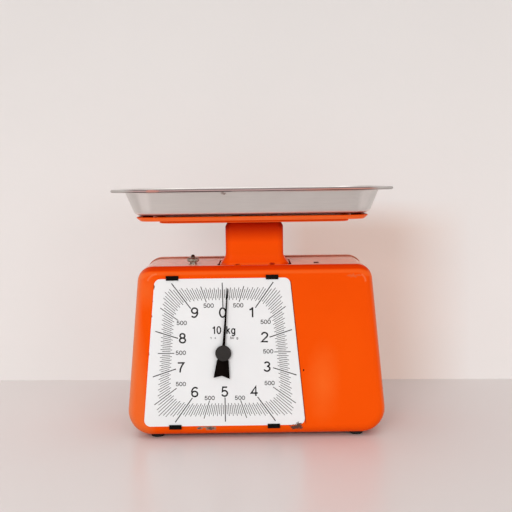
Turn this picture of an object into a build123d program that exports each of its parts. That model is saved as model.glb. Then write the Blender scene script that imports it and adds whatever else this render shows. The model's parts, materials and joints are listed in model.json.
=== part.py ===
from build123d import *
import os
from math import acos, asin, cos, degrees, pi, radians, sin, tan

# A dial kitchen scale for ten kilograms, with a lift-off tray. Millimetres, +Z up.
# The dial faces -Y. Pieces are drawn about the middle of the housing's width; at the end
# all are moved sideways together, so that the origin is on the table under the middle of the tray.
# Moving parts are drawn at rest: nothing on the tray, carrier at the top of its travel.

# ---------------------------------------------------------------- housing
FOOT_HEIGHT = 3.4
FOOT_TOP_R = 7.5
FOOT_BOTTOM_R = 6.6
FOOT_SIDE_INSET = 31.95        # foot centre inside the housing's lower edge
FOOT_INSET = 15.5              # foot centre behind the front face, and before the rear cover's rim
FOOT_EDGE_R = 1.0
FOOT_RECESS = 1.7              # depth of the screw's recess
FOOT_SCREW_HEAD = 1.2
HOUSING_HEIGHT = 176.6
HOUSING_HALF_BOTTOM = 136.45   # half widths where the straight sides meet bottom and top
HOUSING_HALF_TOP = 119.6
HOUSING_FRONT_Y = -50.0
HOUSING_DEPTH = 111.0
SHEET = 1.2                    # housing sheet thickness
TOP_CORNER_R = 16.0
BOTTOM_CORNER_R = 25.0
FRONT_EDGE_R = 10.0
COVER_SHEET = 1.0              # rear cover
COVER_LAP = 12.0               # how far its rim reaches over the housing
COVER_PLAY = 0.2
COVER_EDGE_R = 3.0
COVER_SCREW_X = 18.0
COVER_SCREW_Z = 74.0           # height of the two rear cover screws

# ---------------------------------------------------------------- dial and pointer
HUB_X = -33.4
DIAL_LOW_MARGIN = 10.6         # housing left bare below and above the dial plate
DIAL_TOP_MARGIN = 12.4
DIAL_MID_WIDTH = 152.8
DIAL_CORNER_R = 6.5
DIAL_SHEET = 0.8
DIAL_HOLE_R = 4.0
CLIP_X = 51.0                  # clip centre from the hub
CLIP_WIDTH = 12.7
CLIP_HEIGHT = 4.6
CLIP_LAP = 1.5                 # how far a clip reaches over the plate
CLIP_HEAD = 1.3
CLIP_TONGUE = (8.0, 2.0)
CLIP_TONGUE_REACH = 4.5
POINTER_REST_DEG = 4.6         # clockwise from the zero mark
POINTER_LENGTH = 67.0
POINTER_HUB_WIDTH = 3.2
POINTER_TIP_WIDTH = 0.8
TAIL_START = 8.0
TAIL_LENGTH = 22.3
TAIL_TOP_WIDTH = 12.2
TAIL_END_WIDTH = 16.6
TAIL_NOTCH = 2.8
POINTER_SHEET = 0.8
POINTER_GAP = 2.4              # from the dial plate to the pointer
POINTER_DISC_R = 8.2
POINTER_DISC = 1.2
POINTER_SLEEVE_R = 2.5
SHAFT_R = 1.5
SHAFT_COVER = 0.4              # hub left in front of the shaft's end
SHAFT_PLAY = 0.05
BUSH_R = 3.0
BUSH_FLANGE_R = 4.6
BUSH_FLANGE = 1.4

# ---------------------------------------------------------------- rack and pinion
TOOTH_MODULE = 0.6
PINION_TEETH = 14
PRESSURE_DEG = 20.0
PINION_ADDENDUM = 0.5
RACK_ADDENDUM = 0.45
TOOTH_DEPTH_BELOW = 0.65
BACKLASH = 0.2
PINION_WIDTH = 9.0
POINTER_TURN_DEG = 355.4       # full travel of the pointer
RACK_DEPTH = 7.0
RACK_BACK = 7.8                # rack body behind its pitch line
RACK_SPARE_TEETH = 3
RACK_END = 8.0                 # plain length past the last tooth, for the screw
BRACKET_SHEET = 1.5
BRACKET_BEHIND_PINION = 6.0
BRACKET_SIDE = 13.0            # bracket's side wall from the shaft
BRACKET_HALF_HEIGHT = 8.0
BRACKET_LUG = 20.0             # rivets above and below the shaft
BRACKET_LUG_END = 5.0

# ---------------------------------------------------------------- linkage
LINK_LENGTH = 60.0
PIVOT_SPACING = 70.0
LOWER_PIVOT_RISE = 38.6        # rear lower pivot above the housing floor
PIVOT_R = 2.5
PIVOT_PLAY = 0.05
LINK_SHEET = 1.5
LINK_EYE_R = 6.0
LINK_HALF_WIDTH = 25.0
LINK_WEB = (16.0, 40.0)        # web between the arms, measured from the rear pivot
CHASSIS_SHEET = 1.5
TOWER_HALF_WIDTH = 28.0
TOWER_DEPTH = 26.0
TOWER_PIVOT_Y = 12.0           # pivot centre in front of the tower's web
TOWER_HEAD = 10.0
TOWER_TO_COVER = 6.0
CHASSIS_HALF_WIDTH = 40.0
CHASSIS_FRONT_GAP = 12.0
CHASSIS_SCREW_X = 34.0
CARRIER_HALF_WIDTH = 22.0
CARRIER_SHEET = 1.5
CARRIER_BEFORE_PIVOT = 12.9    # carrier web in front of the front pivots
CARRIER_BEHIND_PIVOT = 10.6
CARRIER_FOOT = 8.0             # carrier below the lower front pivot
CARRIER_TAB = 4.5              # widening of the web behind the rack
PIN_CLIP = 0.8
PIN_CLIP_R = 4.2
PIN_END = 2.2

# ---------------------------------------------------------------- stem and platform
STEM_RISE = 44.4               # platform underside above the housing top
STEM_HALF_WIDTH = 30.0
STEM_FRONT = 6.3               # stem front before the carrier web
STEM_DEPTH = 50.0
STEM_CORNER_R = 7.0
STEM_TOP_R = 6.0
STEM_SHEET = 1.5
FLARE_HEIGHT = 12.0
FLARE_SIDE = 6.5
FLARE_STEPS = 3                # sections along the flare, below its first
STEM_SKIRT = 9.0               # straight part of the flare below the housing top
OPENING_PLAY = 1.6             # beside the skirt
OPENING_FRONT_PLAY = 1.9       # before the skirt
OPENING_BACK_PLAY = 3.0
NOTCH = (7.0, 1.5)
NOTCH_X = 17.5
UNDERPLATE_HALF = (96.9, 54.0)
UNDERPLATE_HEIGHT = 3.1
UNDERPLATE_CORNER_R = 14.0
UNDERPLATE_SHEET = 1.2
PAN_X = -1.8                   # pan, pads and tray sit a little to the left of the stem
PAN_RIM_INSET = 1.0            # rim inside the foot of the tray's wall
PAN_SPREAD = 4.2               # how far the rim stands out from the floor's edge
PAN_HEIGHT = 3.5
PAN_SHEET = 1.0
PAN_CORNER_R = 15.0
PAN_BEND_R = 1.2
PAN_FLOOR_LAP = 8.0            # the rim's own strip of floor
PAD_R = 5.0
PAD_HEIGHT = 4.8
PAD_INSET = (12.1, 16.2)       # pad centre inside the rim, along X and Y
PLATFORM_SCREW_X = 12.0
PLATFORM_SCREW_Y = 13.0        # behind the carrier web

# ---------------------------------------------------------------- tray
TRAY_HALF_MOUTH = (126.8, 88.9)
TRAY_FLANGE = 14.4
TRAY_HEIGHT = 25.9
TRAY_SHEET = 0.8
TRAY_WALL_SPREAD = 9.7
TRAY_FLANGE_RISE = 0.9
TRAY_CORNER_R = 31.0
TRAY_BEND_R = 7.0
TRAY_LIP_BEND_R = 2.5
TRAY_BEAD_R = 1.4

# ---------------------------------------------------------------- springs
SPRING_X = 64.5
SPRING_BEHIND_WEB = 4.5        # spring axis behind the carrier web's front face
COIL_R = 6.0
WIRE_R = 0.8
COIL_TURNS = 38                # close wound at rest
COIL_RIB_ROOT = 0.4            # groove between turns, outside the coil's mean radius
CROSS_WIRE_INSIDE = 1.3        # wire across the coil's end, in from the end turn's edge
SHANK_R = 0.7                  # drawn a little thinner where the wire runs to its hook
HOOK_R = 4.5
SPRING_BAR_END = 1.9           # bar beyond the spring's axis
SPRING_BAR_DEPTH = 14.0
SPRING_BAR_SHEET = 2.0
SPRING_BAR_CORNER_R = 3.0
SPRING_BAR_HOLE_R = 1.9
SPRING_BAR_HOLE_IN = 3.9       # hole from the spring's axis, towards the middle
RIVET_BEHIND_SPRING = 3.0
HOOK_SEAT = 3.0                # hook centre above the bar's underside
STUD_R = 2.0
STUD_HOLE_PLAY = 0.25
STUD_PROUD = 10.3
STUD_TAB = (2.4, 8.0, 13.0)
STUD_TRAVEL = 1.4              # up or down from the middle setting
STUD_SLOT_PLAY = 0.3           # beyond that travel
NUT_R = 6.25
NUT_HEIGHT = 4.0
NUT_BOSS_R = 3.5
NUT_BOSS = 2.2
NUT_PLAY = 0.06
KNURL_TEETH = 24
KNURL_R = 0.35
WASHER_R = 4.6
WASHER = 0.6
ANCHOR_HEAD_R = 2.65
ANCHOR_HEAD = 0.8
EYE_DEPTH = 14.0               # hook hole below the housing top

# ---------------------------------------------------------------- small fasteners
SCREW_R = 2.0
SCREW_HEAD_R = 3.8
SCREW_HEAD = 1.8
NUT_FLATS_R = 3.9
NUT_THICK = 2.4
SMALL_SCREW_R = 1.25
SMALL_HEAD_R = 2.2
SMALL_HEAD = 1.4

# ---------------------------------------------------------------- worked-out places
FLOOR_Z = FOOT_HEIGHT
TOP_Z = FLOOR_Z + HOUSING_HEIGHT
FOOT_X = HOUSING_HALF_BOTTOM - FOOT_SIDE_INSET
DIAL_HEIGHT = HOUSING_HEIGHT - DIAL_LOW_MARGIN - DIAL_TOP_MARGIN
HUB_Z = FLOOR_Z + DIAL_LOW_MARGIN + DIAL_HEIGHT / 2
REAR_Y = HOUSING_FRONT_Y + HOUSING_DEPTH
SHELL_END_Y = REAR_Y - COVER_EDGE_R - COVER_PLAY
SIDE_SLOPE = (HOUSING_HALF_BOTTOM - HOUSING_HALF_TOP) / HOUSING_HEIGHT
INNER_FRONT_Y = HOUSING_FRONT_Y + SHEET
INNER_FLOOR_Z = FLOOR_Z + SHEET
CHASSIS_TOP_Z = INNER_FLOOR_Z + CHASSIS_SHEET

PINION_R = TOOTH_MODULE * PINION_TEETH / 2
TRAVEL = PINION_R * radians(POINTER_TURN_DEG)
LINK_TILT = asin(TRAVEL / 2 / LINK_LENGTH)
FORWARD_SHIFT = LINK_LENGTH * (1 - cos(LINK_TILT))

WEB_Y = REAR_Y - COVER_SHEET - TOWER_TO_COVER
REAR_PIVOT_Y = WEB_Y - TOWER_PIVOT_Y
REAR_PIVOT_Z = (FLOOR_Z + LOWER_PIVOT_RISE, FLOOR_Z + LOWER_PIVOT_RISE + PIVOT_SPACING)
FRONT_PIVOT_Y = REAR_PIVOT_Y - LINK_LENGTH * cos(LINK_TILT)
FRONT_PIVOT_Z = tuple(z + LINK_LENGTH * sin(LINK_TILT) for z in REAR_PIVOT_Z)
TOWER_TOP_Z = REAR_PIVOT_Z[1] + TOWER_HEAD
CARRIER_Y = FRONT_PIVOT_Y - CARRIER_BEFORE_PIVOT
CARRIER_BACK_Y = FRONT_PIVOT_Y + CARRIER_BEHIND_PIVOT
CARRIER_LOW_Z = FRONT_PIVOT_Z[0] - CARRIER_FOOT

STEM_TOP_Z = TOP_Z + STEM_RISE
STEM_FRONT_Y = CARRIER_Y - STEM_FRONT
STEM_MID_Y = STEM_FRONT_Y + STEM_DEPTH / 2
PAN_FLOOR_Z = STEM_TOP_Z + UNDERPLATE_HEIGHT + PAN_SHEET
TRAY_FLOOR_Z = PAN_FLOOR_Z + PAD_HEIGHT
PAN_HALF_RIM = tuple(half - TRAY_WALL_SPREAD - PAN_RIM_INSET for half in TRAY_HALF_MOUTH)
PAD_PLACE = tuple(half - inset for half, inset in zip(PAN_HALF_RIM, PAD_INSET))

RACK_PITCH_X = HUB_X + PINION_R
RACK_Y = CARRIER_Y - RACK_DEPTH
PINION_FRONT_Y = RACK_Y - FORWARD_SHIFT - 0.3
PINION_BACK_Y = PINION_FRONT_Y + PINION_WIDTH
BRACKET_REAR_Y = PINION_BACK_Y + BRACKET_BEHIND_PINION
BRACKET_SIDE_X = HUB_X - BRACKET_SIDE
SPRING_Y = CARRIER_Y + SPRING_BEHIND_WEB
BAR_RIVET_Y = SPRING_Y + RIVET_BEHIND_SPRING
PLATFORM_SCREWS_Y = CARRIER_Y + PLATFORM_SCREW_Y
BAR_LOW_Z = CARRIER_LOW_Z - SPRING_BAR_SHEET
EYE_Z = TOP_Z - EYE_DEPTH


# ---------------------------------------------------------------- helpers
def block(x, y, z):
    """A box from its low and high X, Y and Z."""
    centre = Pos((x[0] + x[1]) / 2, (y[0] + y[1]) / 2, (z[0] + z[1]) / 2)
    return centre * Box(x[1] - x[0], y[1] - y[0], z[1] - z[0])


def rod_x(r, x, y, z):
    return Pos((x[0] + x[1]) / 2, y, z) * Rot(0, 90, 0) * Cylinder(r, x[1] - x[0])


def rod_y(r, x, y, z):
    return Pos(x, (y[0] + y[1]) / 2, z) * Rot(90, 0, 0) * Cylinder(r, y[1] - y[0])


def rod_z(r, x, y, z):
    return Pos(x, y, (z[0] + z[1]) / 2) * Cylinder(r, z[1] - z[0])


def upright(y):
    """A drawing plane whose x is X and whose y is Z, facing the front."""
    return Plane(origin=(0, y, 0), x_dir=(1, 0, 0), z_dir=(0, -1, 0))


def polygon(points):
    return make_face(Polyline(*points, close=True).edges())


def rounded(half_x, half_y, r):
    return RectangleRounded(2 * half_x, 2 * half_y, r)


def slab(half_x, half_y, r, z, y_mid=0.0):
    """An upright-sided plate with round corners, from z[0] to z[1]."""
    return Pos(0, y_mid, z[0]) * extrude(rounded(half_x, half_y, r), z[1] - z[0])


def ring(profile, half_x, half_y, r, y_mid=0.0):
    """A closed frame: the profile (outward, up) follows a rounded rectangle."""
    long_side = Plane(origin=(r - half_x, half_y, 0), x_dir=(0, 1, 0), z_dir=(1, 0, 0))
    short_side = Plane(origin=(half_x, half_y - r, 0), x_dir=(1, 0, 0), z_dir=(0, -1, 0))
    corner = Plane(origin=(half_x - r, half_y - r, 0), x_dir=(1, 0, 0), z_dir=(0, -1, 0))
    turn_axis = Axis((half_x - r, half_y - r, 0), (0, 0, 1))
    bend = revolve(corner * Pos(r, 0) * profile, axis=turn_axis, revolution_arc=90)
    back = bend + mirror(bend, Plane.YZ) + extrude(long_side * profile, 2 * (half_x - r))
    side = extrude(short_side * profile, 2 * (half_y - r))
    return Pos(0, y_mid, 0) * (back + mirror(back, Plane.XZ) + side + mirror(side, Plane.YZ))


def sheet_profile(points, radii, thickness):
    """A bent sheet seen on edge: a line with rounded bends, thickened upwards."""
    return make_face(offset(FilletPolyline(*points, radius=radii), thickness, side=Side.LEFT).edges())


def both_sides(solid):
    return [solid, mirror(solid, Plane.YZ)]


def hexagon_nut(hole_r, z, x, y):
    """A plain nut lying flat, from z[0] to z[1]."""
    body = extrude(RegularPolygon(NUT_FLATS_R, 6), z[1] - z[0])
    return Pos(x, y, z[0]) * body - rod_z(hole_r, x, y, (z[0] - 1, z[1] + 1))


# ---------------------------------------------------------------- housing pieces
def housing_outline(grow):
    """The rounded trapezoid of the housing, grown outwards all round."""
    corners = [
        (-HOUSING_HALF_BOTTOM, FLOOR_Z),
        (HOUSING_HALF_BOTTOM, FLOOR_Z),
        (HOUSING_HALF_TOP, TOP_Z),
        (-HOUSING_HALF_TOP, TOP_Z),
    ]
    face = polygon(corners)
    low = face.vertices().sort_by(Axis.Y)[:2]
    face = fillet(low, BOTTOM_CORNER_R)
    high = face.vertices().sort_by(Axis.Y)[-2:]
    face = fillet(high, TOP_CORNER_R)
    return offset(face, grow) if grow else face


def housing_block(grow, front, back, edge_r, edge_at_front):
    body = extrude(upright(back) * housing_outline(grow), back - front)
    end = body.faces().sort_by(Axis.Y)[0 if edge_at_front else -1]
    return fillet(end.edges(), edge_r)


def foot_places():
    rows = (HOUSING_FRONT_Y + FOOT_INSET, REAR_Y - FOOT_INSET - COVER_LAP)
    return [(x, y) for x in (-FOOT_X, FOOT_X) for y in rows]


def chassis_screw_places():
    front = INNER_FRONT_Y + CHASSIS_FRONT_GAP + SCREW_HEAD_R * 2
    back = WEB_Y - TOWER_DEPTH - SCREW_HEAD_R
    return [(x, y) for x in (-CHASSIS_SCREW_X, CHASSIS_SCREW_X) for y in (front, back)]


def clip_places():
    """Clip head centres and the direction, up or down, that points off the plate."""
    off = DIAL_HEIGHT / 2 - CLIP_LAP + CLIP_HEIGHT / 2
    return [(HUB_X + side * CLIP_X, HUB_Z + up * off, up) for side in (-1, 1) for up in (-1, 1)]


def tongue_z(z, up):
    """Middle height of a clip's tongue, which sits just off the plate's edge."""
    return z + up * (CLIP_HEIGHT / 2 - CLIP_TONGUE[1] / 2 - 0.3)


def stem_opening():
    front = STEM_FRONT_Y - FLARE_SIDE / 2 - OPENING_FRONT_PLAY
    back = STEM_FRONT_Y + STEM_DEPTH + FLARE_SIDE / 2 + OPENING_BACK_PLAY
    half = STEM_HALF_WIDTH + FLARE_SIDE + OPENING_PLAY
    return front, back, half


def make_housing_shell():
    shell = housing_block(0, HOUSING_FRONT_Y, SHELL_END_Y, FRONT_EDGE_R, True)
    shell -= housing_block(-SHEET, INNER_FRONT_Y, SHELL_END_Y + SHEET, FRONT_EDGE_R - SHEET, True)
    front, back, half = stem_opening()
    through_top = (TOP_Z - SHEET * 3, TOP_Z + SHEET)
    shell -= slab(half, (back - front) / 2, STEM_CORNER_R, through_top, (front + back) / 2)
    for x in (-NOTCH_X, NOTCH_X):
        sides = (x - NOTCH[0] / 2, x + NOTCH[0] / 2)
        shell -= block(sides, (front - NOTCH[1], front + STEM_CORNER_R), through_top)
    shell -= rod_z(STUD_R + STUD_HOLE_PLAY, -SPRING_X, SPRING_Y, through_top)
    shell -= rod_z(STUD_R, SPRING_X, SPRING_Y, through_top)
    through_floor = (FLOOR_Z - SHEET, FLOOR_Z + SHEET * 2)
    for x, y in foot_places() + chassis_screw_places():
        shell -= rod_z(SCREW_R, x, y, through_floor)
    through_face = (HOUSING_FRONT_Y - SHEET, HOUSING_FRONT_Y + CLIP_TONGUE_REACH + SHEET)
    shell -= rod_y(BUSH_R, HUB_X, through_face, HUB_Z)
    for z in (HUB_Z - BRACKET_LUG, HUB_Z + BRACKET_LUG):
        shell -= rod_y(SMALL_SCREW_R, HUB_X, through_face, z)
    for x, z, up in clip_places():
        half_x = CLIP_TONGUE[0] / 2 + COVER_PLAY
        half_z = CLIP_TONGUE[1] / 2 + COVER_PLAY
        mid = tongue_z(z, up)
        shell -= block((x - half_x, x + half_x), through_face, (mid - half_z, mid + half_z))
    return shell


def make_rear_cover():
    rim_y = REAR_Y - COVER_LAP
    cover = housing_block(COVER_PLAY + COVER_SHEET, rim_y, REAR_Y, COVER_EDGE_R, False)
    pocket_end = REAR_Y - COVER_SHEET
    cover -= housing_block(COVER_PLAY, rim_y - 1, pocket_end, COVER_EDGE_R - COVER_SHEET, False)
    for x in (-COVER_SCREW_X, COVER_SCREW_X):
        cover -= rod_y(SCREW_R, x, (pocket_end - 1, REAR_Y + 1), COVER_SCREW_Z)
    return cover


def make_cover_screws():
    end_y = WEB_Y - CHASSIS_SHEET - NUT_THICK - 1.0
    screws = []
    for x in (-COVER_SCREW_X, COVER_SCREW_X):
        head = rod_y(SCREW_HEAD_R, x, (REAR_Y, REAR_Y + SCREW_HEAD), COVER_SCREW_Z)
        head = fillet(head.edges().sort_by(Axis.Y)[-1], SCREW_HEAD / 2)
        slot = (x - SCREW_HEAD_R, x + SCREW_HEAD_R)
        deep = (REAR_Y + SCREW_HEAD / 2, REAR_Y + SCREW_HEAD + 1)
        head -= block(slot, deep, (COVER_SCREW_Z - 0.4, COVER_SCREW_Z + 0.4))
        screws.append(head + rod_y(SCREW_R, x, (end_y, REAR_Y), COVER_SCREW_Z))
    return screws


def make_cover_spacers():
    """Tubes between the tower's web and the rear cover."""
    span = (WEB_Y, REAR_Y - COVER_SHEET)
    tubes = []
    for x in (-COVER_SCREW_X, COVER_SCREW_X):
        tube = rod_y(SCREW_HEAD_R, x, span, COVER_SCREW_Z)
        tubes.append(tube - rod_y(SCREW_R, x, (span[0] - 1, span[1] + 1), COVER_SCREW_Z))
    return tubes


def make_cover_nuts():
    front = WEB_Y - CHASSIS_SHEET - NUT_THICK
    nuts = []
    for x in (-COVER_SCREW_X, COVER_SCREW_X):
        nut = extrude(upright(front + NUT_THICK) * RegularPolygon(NUT_FLATS_R, 6), NUT_THICK)
        nut = Pos(x, 0, COVER_SCREW_Z) * nut
        nuts.append(nut - rod_y(SCREW_R, x, (front - 1, WEB_Y), COVER_SCREW_Z))
    return nuts


def make_feet():
    feet = []
    for x, y in foot_places():
        foot = Pos(x, y, FOOT_HEIGHT / 2) * Cone(FOOT_BOTTOM_R, FOOT_TOP_R, FOOT_HEIGHT)
        foot = fillet(foot.edges().sort_by(Axis.Z)[0], FOOT_EDGE_R)
        foot -= rod_z(SCREW_R, x, y, (-1, FOOT_HEIGHT + 1))
        foot -= rod_z(SCREW_HEAD_R, x, y, (-1, FOOT_RECESS))
        feet.append(foot)
    return feet


def make_foot_screws():
    nut_top = INNER_FLOOR_Z + NUT_THICK
    screws = []
    for x, y in foot_places():
        head = rod_z(SCREW_HEAD_R - COVER_PLAY, x, y, (FOOT_RECESS - FOOT_SCREW_HEAD, FOOT_RECESS))
        screws.append(head + rod_z(SCREW_R, x, y, (FOOT_RECESS, nut_top + 1)))
    return screws


def make_foot_nuts():
    span = (INNER_FLOOR_Z, INNER_FLOOR_Z + NUT_THICK)
    return [hexagon_nut(SCREW_R, span, x, y) for x, y in foot_places()]


# ---------------------------------------------------------------- dial pieces
def make_dial_plate():
    """A trapezoid with the housing's side slope, lying on its front face."""
    half_h = DIAL_HEIGHT / 2
    half_low = DIAL_MID_WIDTH / 2 + SIDE_SLOPE * half_h
    half_high = DIAL_MID_WIDTH / 2 - SIDE_SLOPE * half_h
    corners = [
        (HUB_X - half_low, HUB_Z - half_h),
        (HUB_X + half_low, HUB_Z - half_h),
        (HUB_X + half_high, HUB_Z + half_h),
        (HUB_X - half_high, HUB_Z + half_h),
    ]
    face = polygon(corners)
    face = fillet(face.vertices(), DIAL_CORNER_R)
    face -= Pos(HUB_X, HUB_Z) * Circle(DIAL_HOLE_R)
    return extrude(upright(HOUSING_FRONT_Y) * face, DIAL_SHEET)


def make_dial_clips():
    face_y = HOUSING_FRONT_Y
    clips = []
    for x, z, up in clip_places():
        wide = (x - CLIP_WIDTH / 2, x + CLIP_WIDTH / 2)
        head_front = face_y - DIAL_SHEET - CLIP_HEAD
        head = block(wide, (head_front, face_y - DIAL_SHEET), (z - CLIP_HEIGHT / 2, z + CLIP_HEIGHT / 2))
        head = fillet(head.edges().group_by(Axis.Y)[0], 0.4)
        edge = z - up * (CLIP_HEIGHT / 2 - CLIP_LAP)
        outer = z + up * CLIP_HEIGHT / 2
        step = (min(edge, outer), max(edge, outer))
        seat = block(wide, (face_y - DIAL_SHEET, face_y), step)
        mid = tongue_z(z, up)
        tongue_x = (x - CLIP_TONGUE[0] / 2, x + CLIP_TONGUE[0] / 2)
        tongue_h = (mid - CLIP_TONGUE[1] / 2, mid + CLIP_TONGUE[1] / 2)
        clips.append(head + seat + block(tongue_x, (face_y, face_y + CLIP_TONGUE_REACH), tongue_h))
    return clips


def pointer_frame(y):
    """A drawing plane on the hub whose y runs along the pointer."""
    turn = radians(POINTER_REST_DEG)
    return Plane(origin=(HUB_X, y, HUB_Z), x_dir=(cos(turn), 0, -sin(turn)), z_dir=(0, -1, 0))


POINTER_BACK_Y = HOUSING_FRONT_Y - DIAL_SHEET - POINTER_GAP
POINTER_FRONT_Y = POINTER_BACK_Y - POINTER_SHEET
HUB_FRONT_Y = POINTER_FRONT_Y - POINTER_DISC
SHAFT_FRONT_Y = HUB_FRONT_Y + SHAFT_COVER


def make_pointer():
    tail_end = TAIL_START + TAIL_LENGTH - TAIL_START / 2
    outline = [
        (-POINTER_HUB_WIDTH / 2, 0),
        (-POINTER_TIP_WIDTH / 2, POINTER_LENGTH),
        (POINTER_TIP_WIDTH / 2, POINTER_LENGTH),
        (POINTER_HUB_WIDTH / 2, 0),
        (TAIL_TOP_WIDTH / 2, -TAIL_START),
        (TAIL_END_WIDTH / 2, -tail_end),
        (0, -tail_end + TAIL_NOTCH),
        (-TAIL_END_WIDTH / 2, -tail_end),
        (-TAIL_TOP_WIDTH / 2, -TAIL_START),
    ]
    face = polygon(outline) + Circle(POINTER_DISC_R - 1.0)
    face -= Circle(POINTER_SLEEVE_R)
    return extrude(pointer_frame(POINTER_BACK_Y) * face, POINTER_SHEET)


def make_pointer_hub():
    """The disc in front of the pointer, with the sleeve that grips the shaft's end."""
    sleeve_back = POINTER_BACK_Y + POINTER_GAP / 2
    disc = rod_y(POINTER_DISC_R, HUB_X, (HUB_FRONT_Y, POINTER_FRONT_Y), HUB_Z)
    disc = fillet(disc.edges().sort_by(Axis.Y)[0], POINTER_DISC / 2)
    hub = disc + rod_y(POINTER_SLEEVE_R, HUB_X, (POINTER_FRONT_Y, sleeve_back), HUB_Z)
    return hub - rod_y(SHAFT_R, HUB_X, (SHAFT_FRONT_Y, sleeve_back + 1), HUB_Z)


COLLAR_Y = (BRACKET_REAR_Y - BUSH_FLANGE - 2.2, BRACKET_REAR_Y - BUSH_FLANGE - 0.2)
SHAFT_BACK_Y = BRACKET_REAR_Y + BRACKET_SHEET + 2.5


def make_pointer_shaft():
    shaft = rod_y(SHAFT_R, HUB_X, (SHAFT_FRONT_Y, SHAFT_BACK_Y), HUB_Z)
    return shaft + rod_y(SHAFT_R * 2, HUB_X, COLLAR_Y, HUB_Z)


def bush(front_y, back_y, flange_y):
    body = rod_y(BUSH_R, HUB_X, (front_y, back_y), HUB_Z) + rod_y(BUSH_FLANGE_R, HUB_X, flange_y, HUB_Z)
    bore = (front_y - BUSH_FLANGE - 1, back_y + BUSH_FLANGE + 1)
    return body - rod_y(SHAFT_R + SHAFT_PLAY, HUB_X, bore, HUB_Z)


FRONT_BUSH_BACK_Y = INNER_FRONT_Y + BRACKET_SHEET


def make_front_bush():
    flange = (FRONT_BUSH_BACK_Y, FRONT_BUSH_BACK_Y + BUSH_FLANGE)
    return bush(HOUSING_FRONT_Y, flange[1], flange)


def make_rear_bush():
    flange = (BRACKET_REAR_Y - BUSH_FLANGE, BRACKET_REAR_Y)
    return bush(flange[0], BRACKET_REAR_Y + BRACKET_SHEET, flange)


def make_bearing_bracket():
    """A bent strip behind the housing's face that carries the rear bush."""
    low_high = (HUB_Z - BRACKET_HALF_HEIGHT, HUB_Z + BRACKET_HALF_HEIGHT)
    right = HUB_X + 6.0
    back_y = BRACKET_REAR_Y + BRACKET_SHEET
    plate_y = (INNER_FRONT_Y, FRONT_BUSH_BACK_Y)
    bracket = block((BRACKET_SIDE_X, right), plate_y, low_high)
    bracket += block((BRACKET_SIDE_X, BRACKET_SIDE_X + BRACKET_SHEET), (INNER_FRONT_Y, back_y), low_high)
    bracket += block((BRACKET_SIDE_X, right), (BRACKET_REAR_Y, back_y), low_high)
    lug_end = BRACKET_LUG + BRACKET_LUG_END
    lug = (HUB_Z - lug_end, HUB_Z + lug_end)
    bracket += block((HUB_X - 5.0, HUB_X + 5.0), plate_y, lug)
    for z in (HUB_Z - BRACKET_LUG, HUB_Z + BRACKET_LUG):
        bracket -= rod_y(SMALL_SCREW_R, HUB_X, (INNER_FRONT_Y - 1, FRONT_BUSH_BACK_Y + 1), z)
    return bracket - rod_y(BUSH_R, HUB_X, (INNER_FRONT_Y - 1, back_y + 1), HUB_Z)


def make_bracket_rivets():
    """Rivets through the housing's face, flush in front, under the dial plate."""
    rivets = []
    for z in (HUB_Z - BRACKET_LUG, HUB_Z + BRACKET_LUG):
        head = rod_y(SMALL_HEAD_R, HUB_X, (FRONT_BUSH_BACK_Y, FRONT_BUSH_BACK_Y + SMALL_HEAD), z)
        rivets.append(head + rod_y(SMALL_SCREW_R, HUB_X, (HOUSING_FRONT_Y, FRONT_BUSH_BACK_Y), z))
    return rivets


# ---------------------------------------------------------------- rack and pinion
def flank_angle(r, base_r, half_at_pitch, pressure):
    """Half the angle that a tooth takes up at radius r."""
    at = acos(min(1.0, base_r / r))
    return half_at_pitch + (tan(pressure) - pressure) - (tan(at) - at)


def make_pinion():
    pressure = radians(PRESSURE_DEG)
    base_r = PINION_R * cos(pressure)
    root_r = PINION_R - TOOTH_DEPTH_BELOW
    tip_r = PINION_R + PINION_ADDENDUM
    half_at_pitch = (pi * TOOTH_MODULE / 2 - BACKLASH / 2) / 2 / PINION_R
    radii = [root_r] + [base_r + (tip_r - base_r) * k / 4 for k in range(5)]
    points = []
    for tooth in range(PINION_TEETH):
        middle = 2 * pi * tooth / PINION_TEETH
        for side, order in ((-1, radii), (1, radii[::-1])):
            for r in order:
                angle = middle + side * flank_angle(max(r, base_r), base_r, half_at_pitch, pressure)
                points.append((r * cos(angle), r * sin(angle)))
    face = polygon(points)
    wheel = extrude(Plane(origin=(HUB_X, PINION_BACK_Y, HUB_Z), x_dir=(1, 0, 0), z_dir=(0, -1, 0)) * face,
                    PINION_WIDTH)
    boss = (FRONT_BUSH_BACK_Y + BUSH_FLANGE + 0.2, PINION_FRONT_Y)
    wheel += rod_y(root_r - 0.3, HUB_X, boss, HUB_Z)
    return wheel - rod_y(SHAFT_R, HUB_X, (boss[0] - 1, PINION_BACK_Y + 1), HUB_Z)


RACK_PITCH = pi * TOOTH_MODULE
RACK_LOW_Z = HUB_Z - RACK_SPARE_TEETH * RACK_PITCH
RACK_HIGH_Z = HUB_Z + (RACK_SPARE_TEETH + round(TRAVEL / RACK_PITCH)) * RACK_PITCH
RACK_SCREW_X = -CARRIER_HALF_WIDTH - CARRIER_TAB / 2
RACK_SCREW_Z = (RACK_LOW_Z - RACK_END / 2, RACK_HIGH_Z + RACK_END / 2)


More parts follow.
